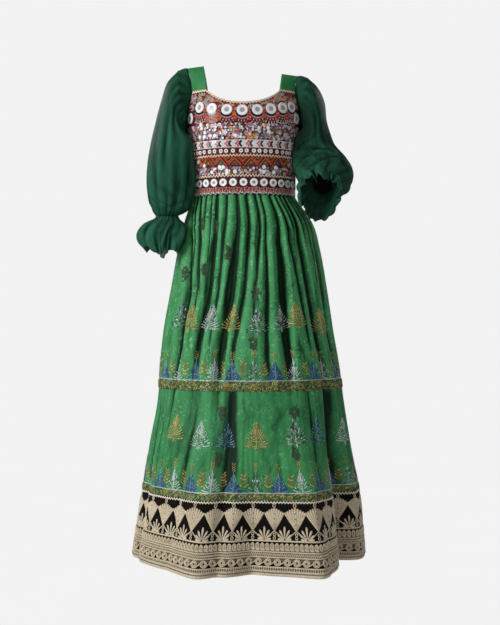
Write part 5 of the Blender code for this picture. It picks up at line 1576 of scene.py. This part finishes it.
# Creases across the sleeve at the elbow and over the cuff: ring, turn, slope, depth, width
crossCreases = {
    "right": ((7.1, 60, 0.01, 3.0, 0.22), (7.5, 110, -0.012, 3.0, 0.2), (6.6, 95, 0.014, 2.2, 0.22),
              (7.3, -20, 0.01, 2.6, 0.22), (6.9, -140, 0.012, 2.6, 0.24)),
    "left": ((3.9, 120, 0.012, 5.0, 0.2), (4.4, 105, -0.01, 6.5, 0.24), (4.9, 125, 0.012, 6.0, 0.22),
             (5.5, 95, -0.012, 7.5, 0.26), (6.1, 75, 0.016, 7.0, 0.24), (6.6, 30, -0.012, 5.0, 0.24),
             (7.0, 110, 0.012, 6.0, 0.24),
             (7.4, -30, 0.01, 2.8, 0.22), (6.3, -110, 0.012, 3.0, 0.26)),
}
sleeveLook = {"columns": 168, "rows": 68, "headRows": 5, "inner": {"right": 0.015, "left": 0.019}}


def buildSleeve(name, side, rings, strap):
    turn = 2 * math.pi * np.arange(sleeveLook["columns"]) / sleeveLook["columns"] + math.pi
    turn = (turn + math.pi) % (2 * math.pi) - math.pi
    at = np.linspace(0, len(rings) - 1, sleeveLook["rows"])
    degrees = np.degrees(turn)[None]
    down = at[:, None]
    share = down / (len(rings) - 1)
    ends = np.clip(down / 1.2, 0.25, 1) * np.clip((len(rings) - 1 - down) / 1.4, 0.15, 1)
    swell = np.zeros((len(at), len(turn)))
    for number, (head, drift, depth, width) in enumerate(sleeveFolds[name]):
        middle = head + drift * share + 5 * np.sin(down * 0.9 + number)
        strength = 0.65 + 0.35 * np.sin(down * 1.1 + 2.1 * number)
        swell -= depth * mm * strength * bell(anglesApart(degrees, middle) / width)
    for ring, middle, slope, depth, width in crossCreases[name]:
        off = (down - ring - slope * anglesApart(degrees, middle)) / width
        swell -= depth * mm * np.exp(-off ** 2 - (anglesApart(degrees, middle) / 42) ** 2)
    swell += 0.003
    swell *= ends
    # The full side that hangs against the bodice
    near = clamp((down - 0.2) / 1.2) * clamp((len(rings) - 1.3 - down) / 1.0)
    swell += sleeveLook["inner"][name] * near * bell(anglesApart(degrees, 180) / 62)
    swell += 0.0013 * ripples(turn[None] * 0.06 + 0 * down, down * 0.04, 31 + side, 0.011) * ends
    head = np.exp(-down / 0.55) + 0 * degrees
    wrist = np.exp(-(len(rings) - 1 - down) / 0.8) + 0 * degrees
    swell += 0.002 * head * np.sin(19 * turn + 1.9 * np.sin(3 * turn + 1))
    swell += 0.0022 * wrist * np.sin(19 * turn + 1.8 * np.sin(4 * turn)) - 0.0055 * wrist
    grid = tubeGrid(rings, (0, 0, 1), at, turn[None], side, swell)[0]
    # Slack that is drawn in under the arm, in front of the side seam
    tuck = np.exp(-((grid[..., 2] + 0.194) / 0.032) ** 2 - (anglesApart(degrees, 150) / 42) ** 2)
    grid[..., 0] -= side * 0.02 * tuck * clamp((down - 0.3) / 0.8)
    grid = clearOfBody(grid, side)
    edge = armholeEdge(side, strap, turn) + np.array([side * 0.0005, 0, 0])
    edge = edge + np.stack([np.zeros(len(turn)), -np.sin(turn), np.cos(turn)], axis=-1) * chiffonWall
    puff = np.stack([0 * turn, -np.sin(turn), np.cos(turn)], axis=-1)
    headRows = []
    for t in np.arange(sleeveLook["headRows"]) / sleeveLook["headRows"]:
        headRows.append(edge * (1 - t) + grid[0] * t + puff * 0.004 * math.sin(math.pi * t) * (1 - t))
    grid = np.concatenate([np.stack(headRows), grid])
    cloth = Cloth(grid, grid.mean(axis=1, keepdims=True), closed=True)
    rowShare = np.concatenate([np.zeros(sleeveLook["headRows"]), share[:, 0]])[:, None]
    reach, end = (0.3, 0.72) if name == "right" else (0.26, 0.52)
    # Where the sleeve is sheer: it lets the room through in Alpha and is painted lighter
    outerTop = np.exp(-(anglesApart(degrees, 0) / 54) ** 4) * clamp((rowShare - 0.02) / 0.12)
    outerTop *= clamp((end - rowShare) / reach) * (0.78 + 0.22 * np.sin(degrees / 5 + 9 * rowShare))
    free = (rowShare > 0.05) & (rowShare < 0.97)
    # Painted shade in the sleeve's hollows, both round it and down it
    shade = np.maximum.reduce([0.85 * hollowShade(cloth, 0.01, 0.0024), hollowShade(cloth, 0.03, 0.011),
                               0.8 * hollowShade(cloth, 0.012, 0.003, down=True) * free])
    # Painted shade: the left sleeve is darker all over, and darker still on its front inner side by the
    # bodice
    if name == "left":
        near = bell(anglesApart(degrees, 140) / 50) * clamp((0.62 - rowShare) / 0.2)
        shade = 0.16 + 0.84 * np.maximum(shade, 0.75 * near)
    wall("sleeve_cloth_" + name, cloth, chiffonWall, [chiffon], "chiffon", ["sleeve_" + name],
         marks={"sheer": outerTop, "paintedShade": shade})


def buildRuffle(name, side, rings, settings):
    turn = 2 * math.pi * np.arange(settings["columns"]) / settings["columns"]
    at = np.linspace(0, len(rings) - 1, settings["rows"])
    down = at[:, None]
    share = down / (len(rings) - 1)
    fold = smoothRows(rings, at)[:, 8:9] * mm
    phase = 8 * turn + 2.1 * np.sin(2 * turn + side) + 1.3 * np.sin(3 * turn + 2.0 * side) + 1.6 * share
    strength = 0.72 + 0.38 * np.sin(3 * turn + 0.7 * side + 1.2 * share)
    wave = strength * np.cos(phase)
    frill = 0.3 * np.sin(21 * turn + 1.9 * np.sin(3 * turn) + 2.5 * share) * share
    frill += 0.1 * np.sin(41 * turn + 2.2 * np.sin(4 * turn + 1) - 3.0 * share) * share ** 2
    swell = fold * (wave + frill) * 0.95
    swell += 0.0022 * np.sin(19 * turn + 1.8 * np.sin(4 * turn)) * np.exp(-down / 0.9)
    swell += 0.0056 * ripples(turn[None] * 0.05 + 0.03 * share, share * 0.12, 51 + side, 0.02) * share ** 0.7
    swell -= 0.0055 * np.exp(-down / 0.8) + settings["close"][name] * share ** 2 * (0.6 + 0.4 * np.sin(turn))
    sway = turn[None] + settings["curl"] * share ** 1.5 * np.sin(phase + 0.6)
    grid, axes = tubeGrid(rings, (side, 0, 0), at, sway, side, swell)
    tip = np.radians(anglesApart(np.degrees(turn), settings["tip"][name]))
    droop = share ** 2 * (0.022 * bell(tip / 0.45) - 0.004) + 0.005 * share ** 2 * np.cos(phase + 1.0)
    droop += 0.0018 * share ** 3 * np.sin(23 * turn + 1.5 * np.sin(2 * turn))
    if name == "right":
        droop += 0.0075 * share ** 2 * np.sin(5 * turn + 1.3 + 0.8 * np.sin(2 * turn))
        droop -= 0.018 * share ** 1.5 * (0.5 + 0.5 * np.cos(turn)) ** 2
    grid = grid + droop[..., None] * axes[:, None]
    if name == "left":
        grid[..., 2] -= 0.024 * share ** 1.3 * (0.5 + 0.5 * np.sin(turn)) ** 1.5
    grid = np.concatenate([grid[:1], clearOfBody(grid[1:], side)])
    cloth = Cloth(grid, grid.mean(axis=1, keepdims=True), closed=True)
    sheer = 0.25 * share ** 2 * (0.5 + 0.5 * np.clip(wave, -1, 1))
    if name == "right":
        sheer = np.maximum(sheer, 0.3 * bell(tip / 0.3) * clamp((share - 0.78) / 0.1))
    # Painted shade in the ruffle's hollows
    shade = 0.45 * np.maximum(hollowShade(cloth, 0.008, 0.0035), hollowShade(cloth, 0.02, 0.012))
    # Painted shade: the left ruffle is darker all over
    shade = shade + (0.14 if name == "left" else 0.0)
    wall("ruffle_cloth_" + name, cloth, chiffonWall, [chiffon], "chiffon", ["cuff_ruffle_" + name],
         marks={"sheer": sheer, "paintedShade": shade})


ruffleLook = {"columns": 250, "rows": 26, "curl": 0.13, "close": {"right": 0.001, "left": 0.01},
              "tip": {"right": 97.0, "left": -100.0}}
for name, (side, innerX, outerX, topZ) in strapTops.items():
    strap = strapGrid(side, innerX, outerX, topZ, columns=14, half=24)
    cloth = Cloth(strap, np.array([strap[..., 0].mean(), 0.0, strapBaseZ]))
    wall("strap_cloth_" + name, cloth, strapWall, [plainGreen], "green_satin", ["strap_" + name])
    rings, frill = (rightSleeve, rightRuffle) if name == "right" else (leftSleeve, leftRuffle)
    buildSleeve(name, side, rings, strapGrid(side, innerX, outerX, topZ))
    buildRuffle(name, side, frill, ruffleLook)


paperGrey = (0.888, 0.888, 0.888)


def seenOrLit(tree, seen, lit):
    # One shader for what the camera sees, another for what lights the dress
    path = addNode(tree, "ShaderNodeLightPath").outputs["Is Camera Ray"]
    return addNode(tree, "ShaderNodeMixShader", {0: path, 1: lit, 2: seen}).outputs[0]


def stageFinish():
    # White paper that the camera sees evenly bright, and that lights the dress softly
    material, tree = newMaterial("studio_paper")
    tree.nodes.clear()
    out = addNode(tree, "ShaderNodeOutputMaterial")
    strength = ramp(tree, noise(tree, objectSpace(tree), 3.0), 0.0, 1.0, 0.995, 1.005)
    seen = addNode(tree, "ShaderNodeEmission", {"Color": paperGrey, "Strength": strength}).outputs[0]
    paper = addNode(tree, "ShaderNodeBsdfDiffuse", {"Color": (0.6, 0.6, 0.6)}).outputs[0]
    fill(tree, out, {"Surface": seenOrLit(tree, seen, paper)})
    return material


floorMesh = bpy.data.meshes.new("studio_floor")
floorMesh.from_pydata([(x, y, floorZ) for x, y in ((-9, -9), (9, -9), (9, 9), (-9, 9))], [], [(0, 1, 2, 3)])
stage = bpy.data.objects.new("studio_floor", floorMesh)
bpy.context.scene.collection.objects.link(stage)
stage.data.materials.append(stageFinish())


def areaLight(name, place, target, size, power):
    data = bpy.data.lights.new(name, "AREA")
    data.shape, data.energy = "RECTANGLE", power
    data.size, data.size_y = size
    light = bpy.data.objects.new(name, data)
    light.location = place
    way = unit(np.array(target) - np.array(place))
    light.rotation_euler = (math.acos(-way[2]), 0.0, math.atan2(way[1], way[0]) - math.pi / 2)
    bpy.context.scene.collection.objects.link(light)


lights = {
    "key": ((-2.5, -1.9, 0.55), (0.0, 0.0, -0.66), (0.9, 1.5), 88.0),
    "fill": ((1.2, -3.2, -0.2), (0.05, 0.0, -0.45), (1.2, 1.6), 15.0),
    "rimLeft": ((-2.0, 1.6, 0.3), (0.0, 0.0, -0.6), (1.0, 1.8), 6.0),
    "rimRight": ((2.2, 1.5, 0.3), (0.0, 0.0, -0.6), (1.0, 1.8), 6.0),
    "back": ((0.8, 3.0, 0.6), (0.0, 0.0, -0.7), (1.6, 1.6), 30.0),
}
for name, look in lights.items():
    areaLight(name, *look)
world = bpy.data.worlds.new("studio")
world.use_nodes = True
room = world.node_tree
lit, seen = room.nodes["Background"], addNode(room, "ShaderNodeBackground", {"Color": paperGrey})
fill(room, lit, {"Color": (0.95, 0.97, 1.0), "Strength": 0.22})
fill(room, room.nodes["World Output"], {"Surface": seenOrLit(room, seen.outputs[0], lit.outputs[0])})
bpy.context.scene.world = world

lens = bpy.data.cameras.new("camera")
lens.lens = camera["lens"]
lens.sensor_width = 36.0
lens.clip_end = 30.0
eye = bpy.data.objects.new("camera", lens)
eye.location = camera["place"]
eye.rotation_euler = (math.pi / 2, 0.0, 0.0)
bpy.context.scene.collection.objects.link(eye)
bpy.context.scene.camera = eye
bpy.context.scene.view_settings.view_transform = "Standard"
